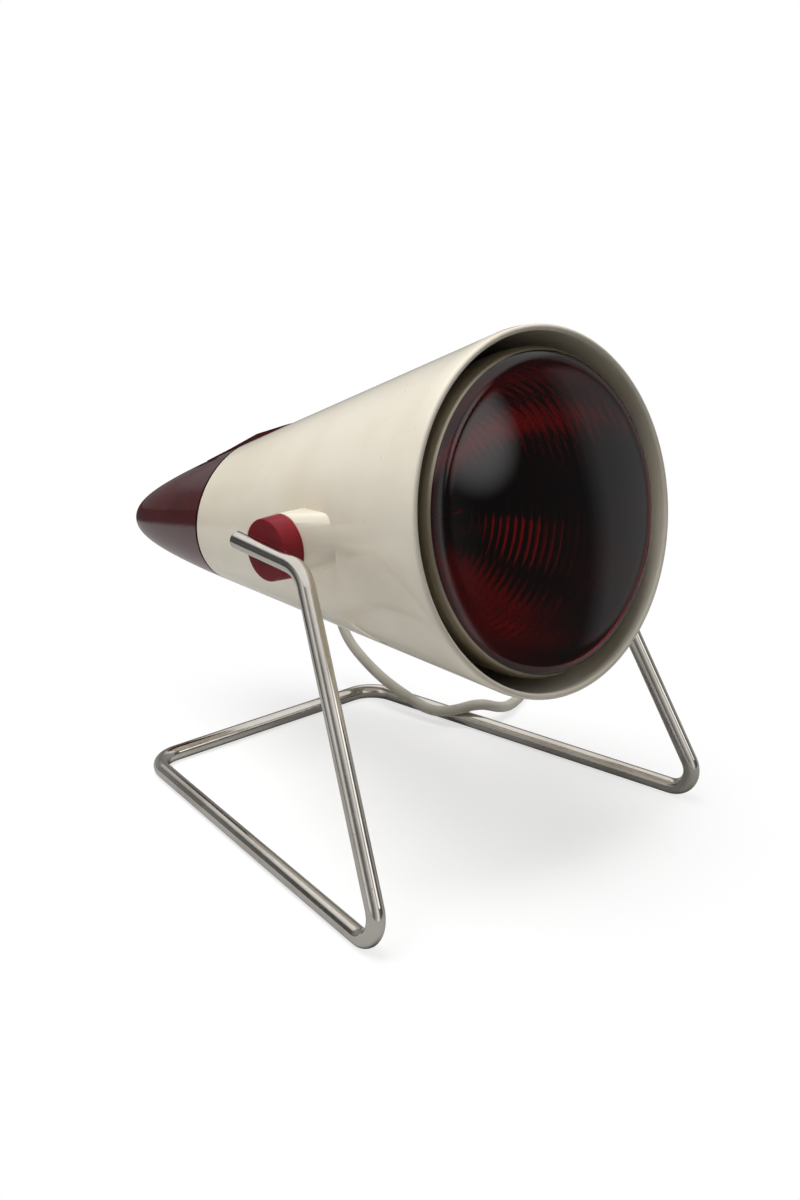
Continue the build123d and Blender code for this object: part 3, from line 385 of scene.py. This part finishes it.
bush_tube_r = 7.5 * mm           # a tube runs inwards from each pad round the bush
post_x = 33.4 * mm
post_r = 4.5 * mm
post_ends = (-70.8 * mm, -50.8 * mm)             # along the axis; below 0 is behind the hinge
post_hole_r = 2.0 * mm
post_web_t = 7.2 * mm
shell_steps = 216
shell_smooth_deg = 42            # what turns less than this is shaded smooth
shell_merge = 0.005 * mm
turned_smooth_deg = 35
turned_merge = 0.01 * mm
pin_sides = 72

tilt = math.radians(lamp_tilt_deg)
light_way = Vector((0, -math.cos(tilt), math.sin(tilt)))
lamp_up = Vector((0, math.sin(tilt), math.cos(tilt)))
hinge = Vector(frame["joints"][0]["pos_m"])
lamp_centre = hinge + lamp_up * lamp_axis_rise
lamp_turn = Matrix((Vector((1, 0, 0)), lamp_up, light_way)).transposed().to_4x4()
lamp_place = Matrix.Translation(lamp_centre) @ lamp_turn
pad_face_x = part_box("pivot_bushes")[1][0]
tube_from_x = pad_face_x - bush_length
tube_to_x = pad_face_x - mm


def only(piece):
    """Selects one piece and makes it active."""
    bpy.ops.object.select_all(action="DESELECT")
    piece.select_set(True)
    bpy.context.view_layer.objects.active = piece


def turn(name, outline, steps):
    """Turns an outline of (radius, distance behind the rim) about the lamp's axis, as a mesh."""
    bpy.ops.object.select_all(action="DESELECT")
    bpy.ops.mesh.primitive_plane_add(size=mm)
    piece = bpy.context.object
    piece.name = name
    bpy.ops.object.mode_set(mode="EDIT")
    bpy.ops.mesh.merge(type="CENTER")
    spots = [Vector((radius, 0, rim_forward - back)) for radius, back in outline]
    bpy.ops.transform.translate(value=spots[0])
    for here, following in zip(spots, spots[1:]):
        bpy.ops.mesh.extrude_vertices_move(TRANSFORM_OT_translate={"value": following - here})
    bpy.ops.mesh.select_all(action="SELECT")
    bpy.ops.mesh.spin(steps=steps, angle=2 * math.pi, center=(0, 0, 0), axis=(0, 0, 1))
    bpy.ops.mesh.select_all(action="SELECT")
    bpy.ops.mesh.remove_doubles(threshold=turned_merge)
    bpy.ops.mesh.normals_make_consistent(inside=False)
    bpy.ops.object.mode_set(mode="OBJECT")
    piece.matrix_world = lamp_place
    bpy.ops.object.transform_apply(location=True, rotation=True, scale=True)
    bpy.ops.object.shade_smooth_by_angle(angle=math.radians(turned_smooth_deg))
    return piece


def arc(centre, radius, from_deg, to_deg, count):
    """Points of an arc; 0 degrees points outwards and 90 degrees forwards."""
    angles = [math.radians(from_deg + (to_deg - from_deg) * i / count) for i in range(count + 1)]
    return [(centre[0] + radius * math.cos(a), centre[1] - radius * math.sin(a)) for a in angles]


def cone_r(back, inset=0.0):
    """Radius of the cone's line at a distance behind the rim, less an inset square to the wall."""
    return rim_r - cone_slope * back - inset * math.hypot(1, cone_slope)


def block(size, place):
    """A block of this size in the lamp's own frame."""
    bpy.ops.object.select_all(action="DESELECT")
    bpy.ops.mesh.primitive_cube_add(size=1)
    piece = bpy.context.object
    piece.matrix_world = lamp_place @ place @ Matrix.Diagonal((*size, 1))
    bpy.ops.object.transform_apply(location=True, rotation=True, scale=True)
    return piece


def pin(radius, start, end):
    """A cylinder between two points of the lamp's own frame."""
    bpy.ops.object.select_all(action="DESELECT")
    way = Vector(end) - Vector(start)
    bpy.ops.mesh.primitive_cylinder_add(vertices=pin_sides, radius=radius, depth=way.length)
    piece = bpy.context.object
    piece.matrix_world = (lamp_place @ Matrix.Translation((Vector(start) + Vector(end)) / 2)
                          @ way.to_track_quat("Z", "Y").to_matrix().to_4x4())
    bpy.ops.object.transform_apply(location=True, rotation=True, scale=True)
    return piece


def hinge_pin(radius, from_x, to_x):
    """A cylinder on the hinge's axis."""
    return pin(radius, (from_x, -lamp_axis_rise, 0), (to_x, -lamp_axis_rise, 0))


def join(*pieces):
    """Several pieces as one mesh."""
    only(pieces[0])
    for piece in pieces[1:]:
        piece.select_set(True)
    bpy.ops.object.join()
    return pieces[0]


def hull(*pieces):
    """The skin stretched round several pieces."""
    piece = join(*pieces)
    bpy.ops.object.mode_set(mode="EDIT")
    bpy.ops.mesh.select_all(action="SELECT")
    bpy.ops.mesh.convex_hull()
    bpy.ops.object.mode_set(mode="OBJECT")
    return piece


def apply_modifier(piece, kind, **settings):
    """Adds a modifier with its settings and applies it."""
    only(piece)
    modifier = piece.modifiers.new(kind.lower(), kind)
    for setting, value in settings.items():
        setattr(modifier, setting, value)
    bpy.ops.object.modifier_apply(modifier=modifier.name)


def combine(piece, operation, tool):
    """Adds a tool to a piece or cuts it away, and removes the tool."""
    apply_modifier(piece, "BOOLEAN", operation=operation, object=tool, solver="EXACT")
    bpy.data.objects.remove(tool)


def hinge_pad(side):
    """A pad on one side: round behind the knob, running out on the cone ahead of it."""
    rear = hinge_pin(pad_r, side * pad_from_x, side * pad_face_x)
    front = pin(pad_front_r, (side * pad_from_x, 0, pad_front), (side * pad_front_x, 0, pad_front))
    pad = hull(rear, front)
    apply_modifier(pad, "BEVEL", width=pad_edge_r, segments=pad_edge_steps, limit_method="ANGLE",
                   angle_limit=math.radians(pad_sharp_deg))
    return pad


def strap_post(side):
    """A post inside, tied to the wall by a web."""
    wall_x = cone_r(rim_forward - post_ends[1])
    post = pin(post_r, (side * post_x, 0, post_ends[0]), (side * post_x, 0, post_ends[1]))
    web_size = (wall_x - post_x, post_web_t, post_ends[1] - post_ends[0])
    web = block(web_size, Matrix.Translation((side * (wall_x + post_x) / 2, 0, sum(post_ends) / 2)))
    combine(post, "UNION", web)
    return post


def cone_core(name, inset):
    """The cone's whole volume, less an inset."""
    line = [(0, 0), (cone_r(0, inset), 0), (cone_r(shell_end, inset), shell_end), (0, shell_end), (0, 0)]
    return turn(name, line, shell_steps)


shell_end = seam_back + rim_r
shell_stations = [shell_end, *wall_rings, lip_ease]
shell_line = arc(lip_middle, lip_r, 0, 180, lip_steps)
shell_line += [(cone_r(station, shell_wall), station) for station in reversed(shell_stations)]
shell_line += [(cone_r(station), station) for station in shell_stations]
cone_shell = turn("cone_shell", shell_line + shell_line[:1], shell_steps)
pads = join(hinge_pad(1), hinge_pad(-1))
combine(pads, "DIFFERENCE", cone_core("cavity", shell_wall))
combine(cone_shell, "UNION", pads)
tubes = [hinge_pin(bush_tube_r, side * tube_from_x, side * tube_to_x) for side in (1, -1)]
combine(cone_shell, "UNION", join(*tubes))
combine(cone_shell, "DIFFERENCE", hinge_pin(bush_r, -rim_r, rim_r))
posts = join(strap_post(1), strap_post(-1))
combine(posts, "INTERSECT", cone_core("wall middle", shell_wall / 2))
combine(cone_shell, "UNION", posts)
holes = [pin(post_hole_r, (side * post_x, 0, post_ends[0] - mm), (side * post_x, 0, 0)) for side in (1, -1)]
combine(cone_shell, "DIFFERENCE", join(*holes))
seam_place = Matrix.Translation((0, 0, rim_forward - seam_back + seam_open))
seam_place = seam_place @ Matrix.Rotation(math.radians(seam_slant_deg), 4, "X")
behind_seam = block((4 * rim_r, 4 * rim_r, 4 * rim_r), seam_place @ Matrix.Translation((0, 0, -2 * rim_r)))
combine(cone_shell, "DIFFERENCE", behind_seam)
screw_z = rim_forward - cap_screw_back
screw_hole = pin(cap_screw_r, (0, -rim_r, screw_z), (0, -cone_r(cap_screw_back) / 2, screw_z))
combine(cone_shell, "DIFFERENCE", screw_hole)
only(cone_shell)
bpy.ops.object.mode_set(mode="EDIT")
bpy.ops.mesh.select_all(action="SELECT")
bpy.ops.mesh.remove_doubles(threshold=shell_merge)
bpy.ops.mesh.normals_make_consistent(inside=False)
bpy.ops.object.mode_set(mode="OBJECT")
bpy.ops.object.shade_smooth_by_angle(angle=math.radians(shell_smooth_deg))

cream_colour = (0.800, 0.745, 0.630, 1)
cream_aged_colour = (0.735, 0.665, 0.530, 1)
cream_scuff_colour = (0.60, 0.55, 0.45, 1)
cream_roughness = (0.05, 0.11)
cream_ripple_depth = 0.012 * mm

cream = new_finish("cream shell", cream_colour)
aged = use_effect(cream, clouds, Size=0.07, Low=0.35, High=0.75, Detail=3)["Share"]
scuffed = use_effect(cream, clouds, Size=0.0016, Low=0.70, High=0.74)["Share"]
rippled = use_effect(cream, clouds, Size=0.012, Low=0.2, High=0.8, Detail=1)["Share"]
yellowed = blend(cream, aged, cream_colour, cream_aged_colour)
wire(cream, "Base Color", blend(cream, scuffed, yellowed, cream_scuff_colour))
wire(cream, "Roughness", between(cream, aged, *cream_roughness))
relief(cream, rippled, cream_ripple_depth)
cone_shell.data.materials.clear()
cone_shell.data.materials.append(cream)
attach(cone_shell, "head")
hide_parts("housing_cone")


# ---- Rear cap ----
# Glossy maroon moulded cap with its slots, tongue and cord seat. The colour is nearly black in the
# shade, and painted shade lies dark along the seam and the edges of the slots.
maroon_colour = (0.079, 0.0125, 0.0140, 1)
maroon_dark_colour = (0.056, 0.0090, 0.0100, 1)
maroon_roughness = (0.07, 0.13)
maroon_ripple_depth = 0.02 * mm
# painted shade along the seam and the slots' edges
seam_shade_colour = (0.012, 0.004, 0.0045, 1)

maroon = new_finish("maroon cap", maroon_colour)
flow = use_effect(maroon, clouds, Size=0.03, Low=0.3, High=0.7, Detail=3)["Share"]
# Painted shade darkens the cap's convex edges along the seam and the slots.
painted_edge_shade = use_effect(maroon, worn_and_shaded_edges, Reach=0.6 * mm, Patch=0.004, Low=0.0, High=0.35)["Share"]
rippled = use_effect(maroon, clouds, Size=0.010, Low=0.2, High=0.8, Detail=1)["Share"]
flowed = blend(maroon, flow, maroon_colour, maroon_dark_colour)
wire(maroon, "Base Color", blend(maroon, painted_edge_shade, flowed, seam_shade_colour))
wire(maroon, "Roughness", between(maroon, flow, *maroon_roughness))
relief(maroon, rippled, maroon_ripple_depth)
dress(maroon, "rear_cap")


# ---- Bulb: front glass ----
# Dark red pressed glass, fused on the shoulder to the silvered bowl. The round shoulder turns into a
# shallow dome. It is made as a closed wall turned about the lamp's own axis.
glass_r = 63.49 * mm
glass_back = 7.0 * mm            # the widest circle, behind the rim
glass_shoulder_r = 7.4 * mm
glass_edge_deg = 40              # the red glass ends here on the shoulder; 0 is the widest circle
glass_dome = 7.4 * mm
glass_wall = 2.2 * mm
glass_steps = 160
glass_shoulder_steps = 10
glass_dome_steps = 24
red_glass_colour = (0.34, 0.005, 0.008, 1)
red_glass_roughness = (0.02, 0.06)


def glass_line(inset):
    """The glass from its edge over the shoulder and the dome to the axis."""
    shoulder = arc((glass_r - glass_shoulder_r, glass_back), glass_shoulder_r - inset, glass_edge_deg, 90,
                   glass_shoulder_steps)
    crease_r, crease_back = shoulder[-1]
    dome_r = (crease_r ** 2 + glass_dome ** 2) / (2 * glass_dome)
    half_deg = math.degrees(math.asin(crease_r / dome_r))
    dome = arc((0, crease_back - glass_dome + dome_r), dome_r, 90 - half_deg, 90, glass_dome_steps)
    return shoulder + dome[1:]


glass_outside = glass_line(0)
glass_inside = glass_line(glass_wall)
front_glass = turn("bulb_front_glass", glass_outside + glass_inside[::-1] + glass_outside[:1], glass_steps)
red_glass = new_finish("dark red glass", red_glass_colour, Transmission_Weight=1.0, IOR=1.5)
smear = use_effect(red_glass, clouds, Size=0.02, Low=0.4, High=0.8)["Share"]
wire(red_glass, "Roughness", between(red_glass, smear, *red_glass_roughness))
front_glass.data.materials.append(red_glass)
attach(front_glass, "head")
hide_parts("bulb_lens")


# ---- Bulb: silvered bowl ----
# Blown glass bowl and neck, silvered inside so that it throws the heat forwards. Many shallow rings
# are pressed into it to even out the beam.
bowl_waist = (60.99 * mm, 45.0 * mm)
bowl_turn = (30.0 * mm, 68.0 * mm)
bowl_throat = (21.0 * mm, 95.0 * mm)
neck_r = 16.5 * mm
neck_from = 116.0 * mm
neck_to = 139.0 * mm
neck_ease = 0.4                  # how far the throat and the neck pull on the curve between them
bowl_rings = 30
bowl_ring_depth = 0.22 * mm
bowl_ring_steps = 6
bowl_outside_steps = 40
bowl_shoulder_steps = 8
bowl_neck_steps = 12
bowl_ripple = 1.6 * mm           # pitch of the fine ripples between the rings
bowl_ripple_depth = 0.10 * mm
silver_colour = (0.90, 0.88, 0.85, 1)
silver_haze_colour = (0.74, 0.71, 0.67, 1)
silver_roughness = (0.05, 0.16)
bowl_back_colour = (0.42, 0.37, 0.29, 1)         # the back of the silvering, dull through the glass
bowl_back_roughness = 0.38


def bezier(points, count):
    """Points of a Bezier curve through its four corners' pull."""
    (ax, ay), (bx, by), (cx, cy), (dx, dy) = points
    spots = []
    for i in range(count + 1):
        t = i / count
        a, b, c, d = (1 - t) ** 3, 3 * t * (1 - t) ** 2, 3 * t * t * (1 - t), t ** 3
        spots.append((a * ax + b * bx + c * cx + d * dx, a * ay + b * by + c * cy + d * dy))
    return spots


def bowl_line(inset, ring_depth, count):
    """From the glass's edge round the bowl and the throat to the neck's end, with swelling rings."""
    shoulder = arc((glass_r - glass_shoulder_r, glass_back), glass_shoulder_r - inset, glass_edge_deg, 0,
                   bowl_shoulder_steps)
    bowl = bezier([(glass_r, glass_back), bowl_waist, bowl_turn, bowl_throat], count)
    swell = [ring_depth * abs(math.sin(math.pi * bowl_rings * i / count)) for i in range(count + 1)]
    bend = neck_ease * (neck_from - bowl_throat[1])
    lean = (bowl_turn[0] - bowl_throat[0]) / (bowl_throat[1] - bowl_turn[1])
    throat = bezier([bowl_throat, (bowl_throat[0] - bend * lean, bowl_throat[1] + bend),
                     (neck_r, neck_from - bend), (neck_r, neck_from)], bowl_neck_steps)
    line = [(r - inset - s, back) for (r, back), s in zip(bowl, swell)]
    return shoulder[:-1] + line + [(r - inset, back) for r, back in throat[1:] + [(neck_r, neck_to)]]


bowl_outside = bowl_line(0, 0, bowl_outside_steps)
bowl_inside = bowl_line(glass_wall, bowl_ring_depth, bowl_ring_steps * bowl_rings)
silvered_bowl = turn("bulb_silvered_bowl", bowl_outside + bowl_inside[::-1] + bowl_outside[:1], glass_steps)
silver = new_finish("silvered glass", silver_colour, Metallic=1.0)
tree = silver.node_tree
haze = use_effect(silver, clouds, Size=0.008, Low=0.3, High=0.8)["Share"]
spot = add_node(tree, "ShaderNodeTexCoord").outputs["Object"]
along = calculate_way(tree, "DOT_PRODUCT", spot, light_way)
ripples = add_node(tree, "ShaderNodeTexNoise", {"noise_dimensions": "1D"}, W=along, Scale=1 / bowl_ripple,
                   Detail=3.0)
from_centre = calculate_way(tree, "SUBTRACT", spot, lamp_centre)
on_axis = calculate_way(tree, "PROJECT", from_centre, light_way)
outwards = calculate_way(tree, "SUBTRACT", from_centre, on_axis)
normal = add_node(tree, "ShaderNodeNewGeometry").outputs["Normal"]
outside = calculate(tree, "GREATER_THAN", calculate_way(tree, "DOT_PRODUCT", outwards, normal))
relief(silver, ripples.outputs[0], bowl_ripple_depth)
hazed = blend(silver, haze, silver_colour, silver_haze_colour)
wire(silver, "Base Color", blend(silver, outside, hazed, bowl_back_colour))
polish = between(silver, haze, *silver_roughness)
wire(silver, "Roughness", between(silver, outside, polish, bowl_back_roughness))
silvered_bowl.data.materials.append(silver)
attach(silvered_bowl, "head")
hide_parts("bulb_reflector")


# ---- Bulb: inside and base ----
# A clear glass stem and two nickel supports carry the filament; the brass screw base is crimped to
# the neck, closed by black glass round a soldered contact.
brass_colour = (0.72, 0.50, 0.24, 1)
brass_dull_colour = (0.44, 0.30, 0.15, 1)
brass_roughness = (0.2, 0.42)

brass = new_finish("brass", brass_colour, Metallic=1.0)
dull = use_effect(brass, clouds, Size=0.005, Low=0.35, High=0.7)["Share"]
wire(brass, "Base Color", blend(brass, dull, brass_colour, brass_dull_colour))
wire(brass, "Roughness", between(brass, dull, *brass_roughness))
dress(brass, "bulb_base", "holder_sleeve", "holder_contact", "terminal_blocks")

solder_colour = (0.52, 0.52, 0.53, 1)
solder_frost_colour = (0.34, 0.34, 0.35, 1)
solder_frost_depth = 0.05 * mm
solder = new_finish("solder", solder_colour, Roughness=0.4, Metallic=1.0)
frost = use_effect(solder, clouds, Size=0.001)["Share"]
wire(solder, "Base Color", blend(solder, frost, solder_colour, solder_frost_colour))
relief(solder, frost, solder_frost_depth)
dress(solder, "bulb_contact")

clear_glass_colour = (0.95, 0.96, 0.96, 1)
clear_glass_roughness = (0.01, 0.05)
clear_glass = new_finish("clear glass", clear_glass_colour, Transmission_Weight=1.0, IOR=1.5)
seed = use_effect(clear_glass, clouds, Size=0.004)["Share"]
wire(clear_glass, "Roughness", between(clear_glass, seed, *clear_glass_roughness))
dress(clear_glass, "bulb_stem")

support_colour = (0.50, 0.48, 0.45, 1)
support_blue_colour = (0.24, 0.24, 0.28, 1)
lead_wire = new_finish("lead wire", support_colour, Roughness=0.3, Metallic=1.0)
blued = use_effect(lead_wire, clouds, Size=0.004)["Share"]
wire(lead_wire, "Base Color", blend(lead_wire, blued, support_colour, support_blue_colour))
dress(lead_wire, "bulb_supports", "bulb_filament")

black_glass_colour = (0.006, 0.006, 0.008, 1)
black_glass_streak_colour = (0.02, 0.018, 0.025, 1)
black_glass = new_finish("black glass", black_glass_colour, Roughness=0.1)
streak = use_effect(black_glass, clouds, Size=0.002)["Share"]
wire(black_glass, "Base Color", blend(black_glass, streak, black_glass_colour, black_glass_streak_colour))
dress(black_glass, "bulb_base_insulator")


# ---- Lamp holder and wiring ----
# White glazed porcelain pot with a brass screw shell, clamped to a steel strap by a ring. Brown and
# blue cores run from its terminals to the cord, which a clamp holds on a pad in the cap.
porcelain_colour = (0.76, 0.75, 0.71, 1)
porcelain_speck_colour = (0.60, 0.56, 0.48, 1)
live_colour = (0.13, 0.045, 0.018)
neutral_colour = (0.02, 0.07, 0.26)
core_shade = 0.7                 # the darker patches of a core, as a share of its colour

porcelain = new_finish("porcelain", porcelain_colour, Roughness=0.12)
speck = use_effect(porcelain, clouds, Size=0.0025, Low=0.62, High=0.7)["Share"]
wire(porcelain, "Base Color", blend(porcelain, speck, porcelain_colour, porcelain_speck_colour))
dress(porcelain, "lamp_holder")

for node, colour in (("live_wire", live_colour), ("neutral_wire", neutral_colour)):
    core = new_finish(node, (*colour, 1), Roughness=0.4)
    shade = use_effect(core, clouds, Size=0.003)["Share"]
    shaded = [core_shade * part for part in colour]
    wire(core, "Base Color", blend(core, shade, (*colour, 1), (*shaded, 1)))
    dress(core, node)


# ---- Studio ----
# A white paper floor that keeps the lamp's shadow, one large softbox overhead and a weak one at the
# right. Glass and metal see a white ceiling and grey walls with dark and light screens between.
floor_corner = Vector((-0.70, -0.21, 0))
floor_side = 1.4
floor_colour = (0.84, 0.84, 0.84, 1)
floor_seen_colour = (0.38, 0.38, 0.38, 1)        # where the camera sees it, under the glow
floor_lost_colour = (0, 0, 0, 1)                 # under the full glow
floor_mirror_colour = (0.42, 0.42, 0.42, 1)      # where metal and gloss show it
floor_mirror_far_colour = (0.07, 0.07, 0.07, 1)
floor_glow = 0.63
floor_shade_r = 0.07             # out to here the floor keeps its shading
floor_white_r = 0.20             # from here on it is plain white
floor_mirror_r = 0.45            # out to here it is bright in metal and gloss
floor_mirror_far_r = 0.55        # from here on it is dim in them
sky_level = 0.18                 # even light from all round
# The room is placed by the way a ray goes: its bearing, and its rise from 0 level to 1 upright.
ceiling_level = 1.0
ceiling_rise = (0.45, 0.68)      # where the ceiling starts and is full
# Brightness of the walls by bearing, in degrees from straight ahead, towards the right.
wall_levels = [(-180, 0.12), (-148, 0.07), (-130, 0.12), (-115, 0.34), (-100, 0.59), (-87, 0.92),
               (-75, 0.37), (-62, 0.13), (-50, 0.18), (-39, 0.34), (-27, 0.46), (-15, 0.83), (-3, 1.00),
               (10, 0.24), (22, 0.09), (54, 0.09), (62, 0.36), (90, 0.34), (150, 0.20), (180, 0.12)]
back_wall_level = 0.30           # behind the lamp, above its own height
back_wall_depth = (0.75, 0.95)   # how far backwards a ray goes where the wall starts and is full
back_wall_rise = (0.0, 0.10)
window_way = Vector((0.403, -0.828, 0.391))      # a small bright window ahead
window_edge = (0.972, 1.0)       # cosine of the angle to it at its edge and at its middle
window_level = 1.6
panel_low_deg = -31.0            # a lit panel beside the camera, seen through glass: bearing of its foot
panel_high_deg = -48.0           # and of its head, which leans over
panel_lean_rise = (0.22, 0.42)
panel_half_deg = 14.0
panel_edge_deg = 16.8            # half its width with its soft edge
panel_middle_rise = 0.40
panel_end_rise = (0.47, 0.40)    # its soft ends, above and below its middle
panel_level = 0.85
panel_dark_level = 0.004
# Name, place, aim, side and watts of each softbox.
softboxes = [("top softbox", (-0.30, 0.15, 1.25), (0.0, 0.0, 0.10), 0.9, 17.5),
             ("right softbox", (1.30, -0.30, 0.70), (0.0, 0.0, 0.12), 0.8, 5.0)]

bpy.ops.object.select_all(action="DESELECT")
bpy.ops.mesh.primitive_grid_add(x_subdivisions=4, y_subdivisions=4, size=floor_side)
floor = bpy.context.object
floor.name = "floor"
floor.data.transform(Matrix.Translation(floor_corner + Vector((floor_side, floor_side, 0)) / 2))
paper = new_finish("white paper", floor_colour, Roughness=0.9, Specular_IOR_Level=0.0,
                   Emission_Color=(1, 1, 1, 1))
tree = paper.node_tree
away = calculate_way(tree, "LENGTH", add_node(tree, "ShaderNodeTexCoord").outputs["Object"])
whiter = rise(tree, away, floor_shade_r, floor_white_r)
farther = rise(tree, away, floor_mirror_r, floor_mirror_far_r)
ray = add_node(tree, "ShaderNodeLightPath").outputs
glow = calculate(tree, "MULTIPLY", ray["Is Camera Ray"], between(paper, whiter, floor_glow, 1.0))
seen = blend(paper, whiter, floor_seen_colour, floor_lost_colour)
mirrored = blend(paper, farther, floor_mirror_colour, floor_mirror_far_colour)
unseen = blend(paper, ray["Is Glossy Ray"], floor_colour, mirrored)
wire(paper, "Emission Strength", glow)
wire(paper, "Base Color", blend(paper, ray["Is Camera Ray"], unseen, seen))
floor.data.materials.append(paper)

room = bpy.data.worlds.new("studio")
bpy.context.scene.world = room
room.use_nodes = True
tree = room.node_tree
tree.nodes.clear()


def choose(share, first, second):
    """The first level where the share is 0, the second where it is 1."""
    return add_node(tree, "ShaderNodeMix", {"data_type": "FLOAT"}, _0=share, _2=first, _3=second).outputs[0]


ray = add_node(tree, "ShaderNodeLightPath").outputs
way = add_node(tree, "ShaderNodeTexCoord").outputs["Generated"]
side = add_node(tree, "ShaderNodeSeparateXYZ", Vector=way).outputs
bearing = calculate(tree, "ARCTAN2", side["X"], calculate(tree, "MULTIPLY", side["Y"], -1.0))
whole_turn = add_node(tree, "ShaderNodeMapRange", Value=bearing, From_Min=-math.pi, From_Max=math.pi)
walls = add_node(tree, "ShaderNodeValToRGB", Fac=whole_turn.outputs[0])
stops = walls.color_ramp.elements
for i, (degrees, level) in enumerate(wall_levels):
    stop = stops[i] if i < len(stops) else stops.new(1.0)
    stop.position = degrees / 360 + 0.5
    stop.color = (level, level, level, 1)
back_wall = calculate(tree, "MULTIPLY", rise(tree, side["Y"], *back_wall_depth),
                      rise(tree, side["Z"], *back_wall_rise, back_wall_level))
around = calculate(tree, "MAXIMUM", walls.outputs[0], back_wall)
overhead = choose(rise(tree, side["Z"], *ceiling_rise), around, ceiling_level)
near_window = calculate_way(tree, "DOT_PRODUCT", way, window_way)
reflected = calculate(tree, "ADD", overhead, rise(tree, near_window, *window_edge, window_level))
panel_bearing = choose(rise(tree, side["Z"], *panel_lean_rise), math.radians(panel_low_deg),
                       math.radians(panel_high_deg))
panel_side = calculate(tree, "ABSOLUTE", calculate(tree, "SUBTRACT", bearing, panel_bearing))
panel_height = calculate(tree, "ABSOLUTE", calculate(tree, "SUBTRACT", side["Z"], panel_middle_rise))
panel = calculate(tree, "MULTIPLY",
                  rise(tree, panel_side, math.radians(panel_edge_deg), math.radians(panel_half_deg)),
                  rise(tree, panel_height, *panel_end_rise, panel_level))
through = calculate(tree, "ADD", panel, panel_dark_level)
level = choose(ray["Is Glossy Ray"], sky_level, reflected)
level = choose(ray["Is Transmission Ray"], level, through)
level = choose(ray["Is Camera Ray"], level, 1.0)
sky = add_node(tree, "ShaderNodeBackground", Color=(1, 1, 1, 1), Strength=level)
tree.links.new(sky.outputs[0], add_node(tree, "ShaderNodeOutputWorld").inputs[0])

for name, place, aim, box_side, watts in softboxes:
    bpy.ops.object.light_add(type="AREA", location=place)
    softbox = bpy.context.object
    softbox.name = name
    softbox.rotation_euler = (Vector(aim) - Vector(place)).to_track_quat("-Z", "Y").to_euler()
    softbox.data.size = box_side
    softbox.data.energy = watts
    softbox.visible_glossy = False
    softbox.visible_transmission = False

bpy.context.scene.view_settings.view_transform = "Standard"


# ---- Update ----
# The scene is brought up to date.
bpy.context.view_layer.update()
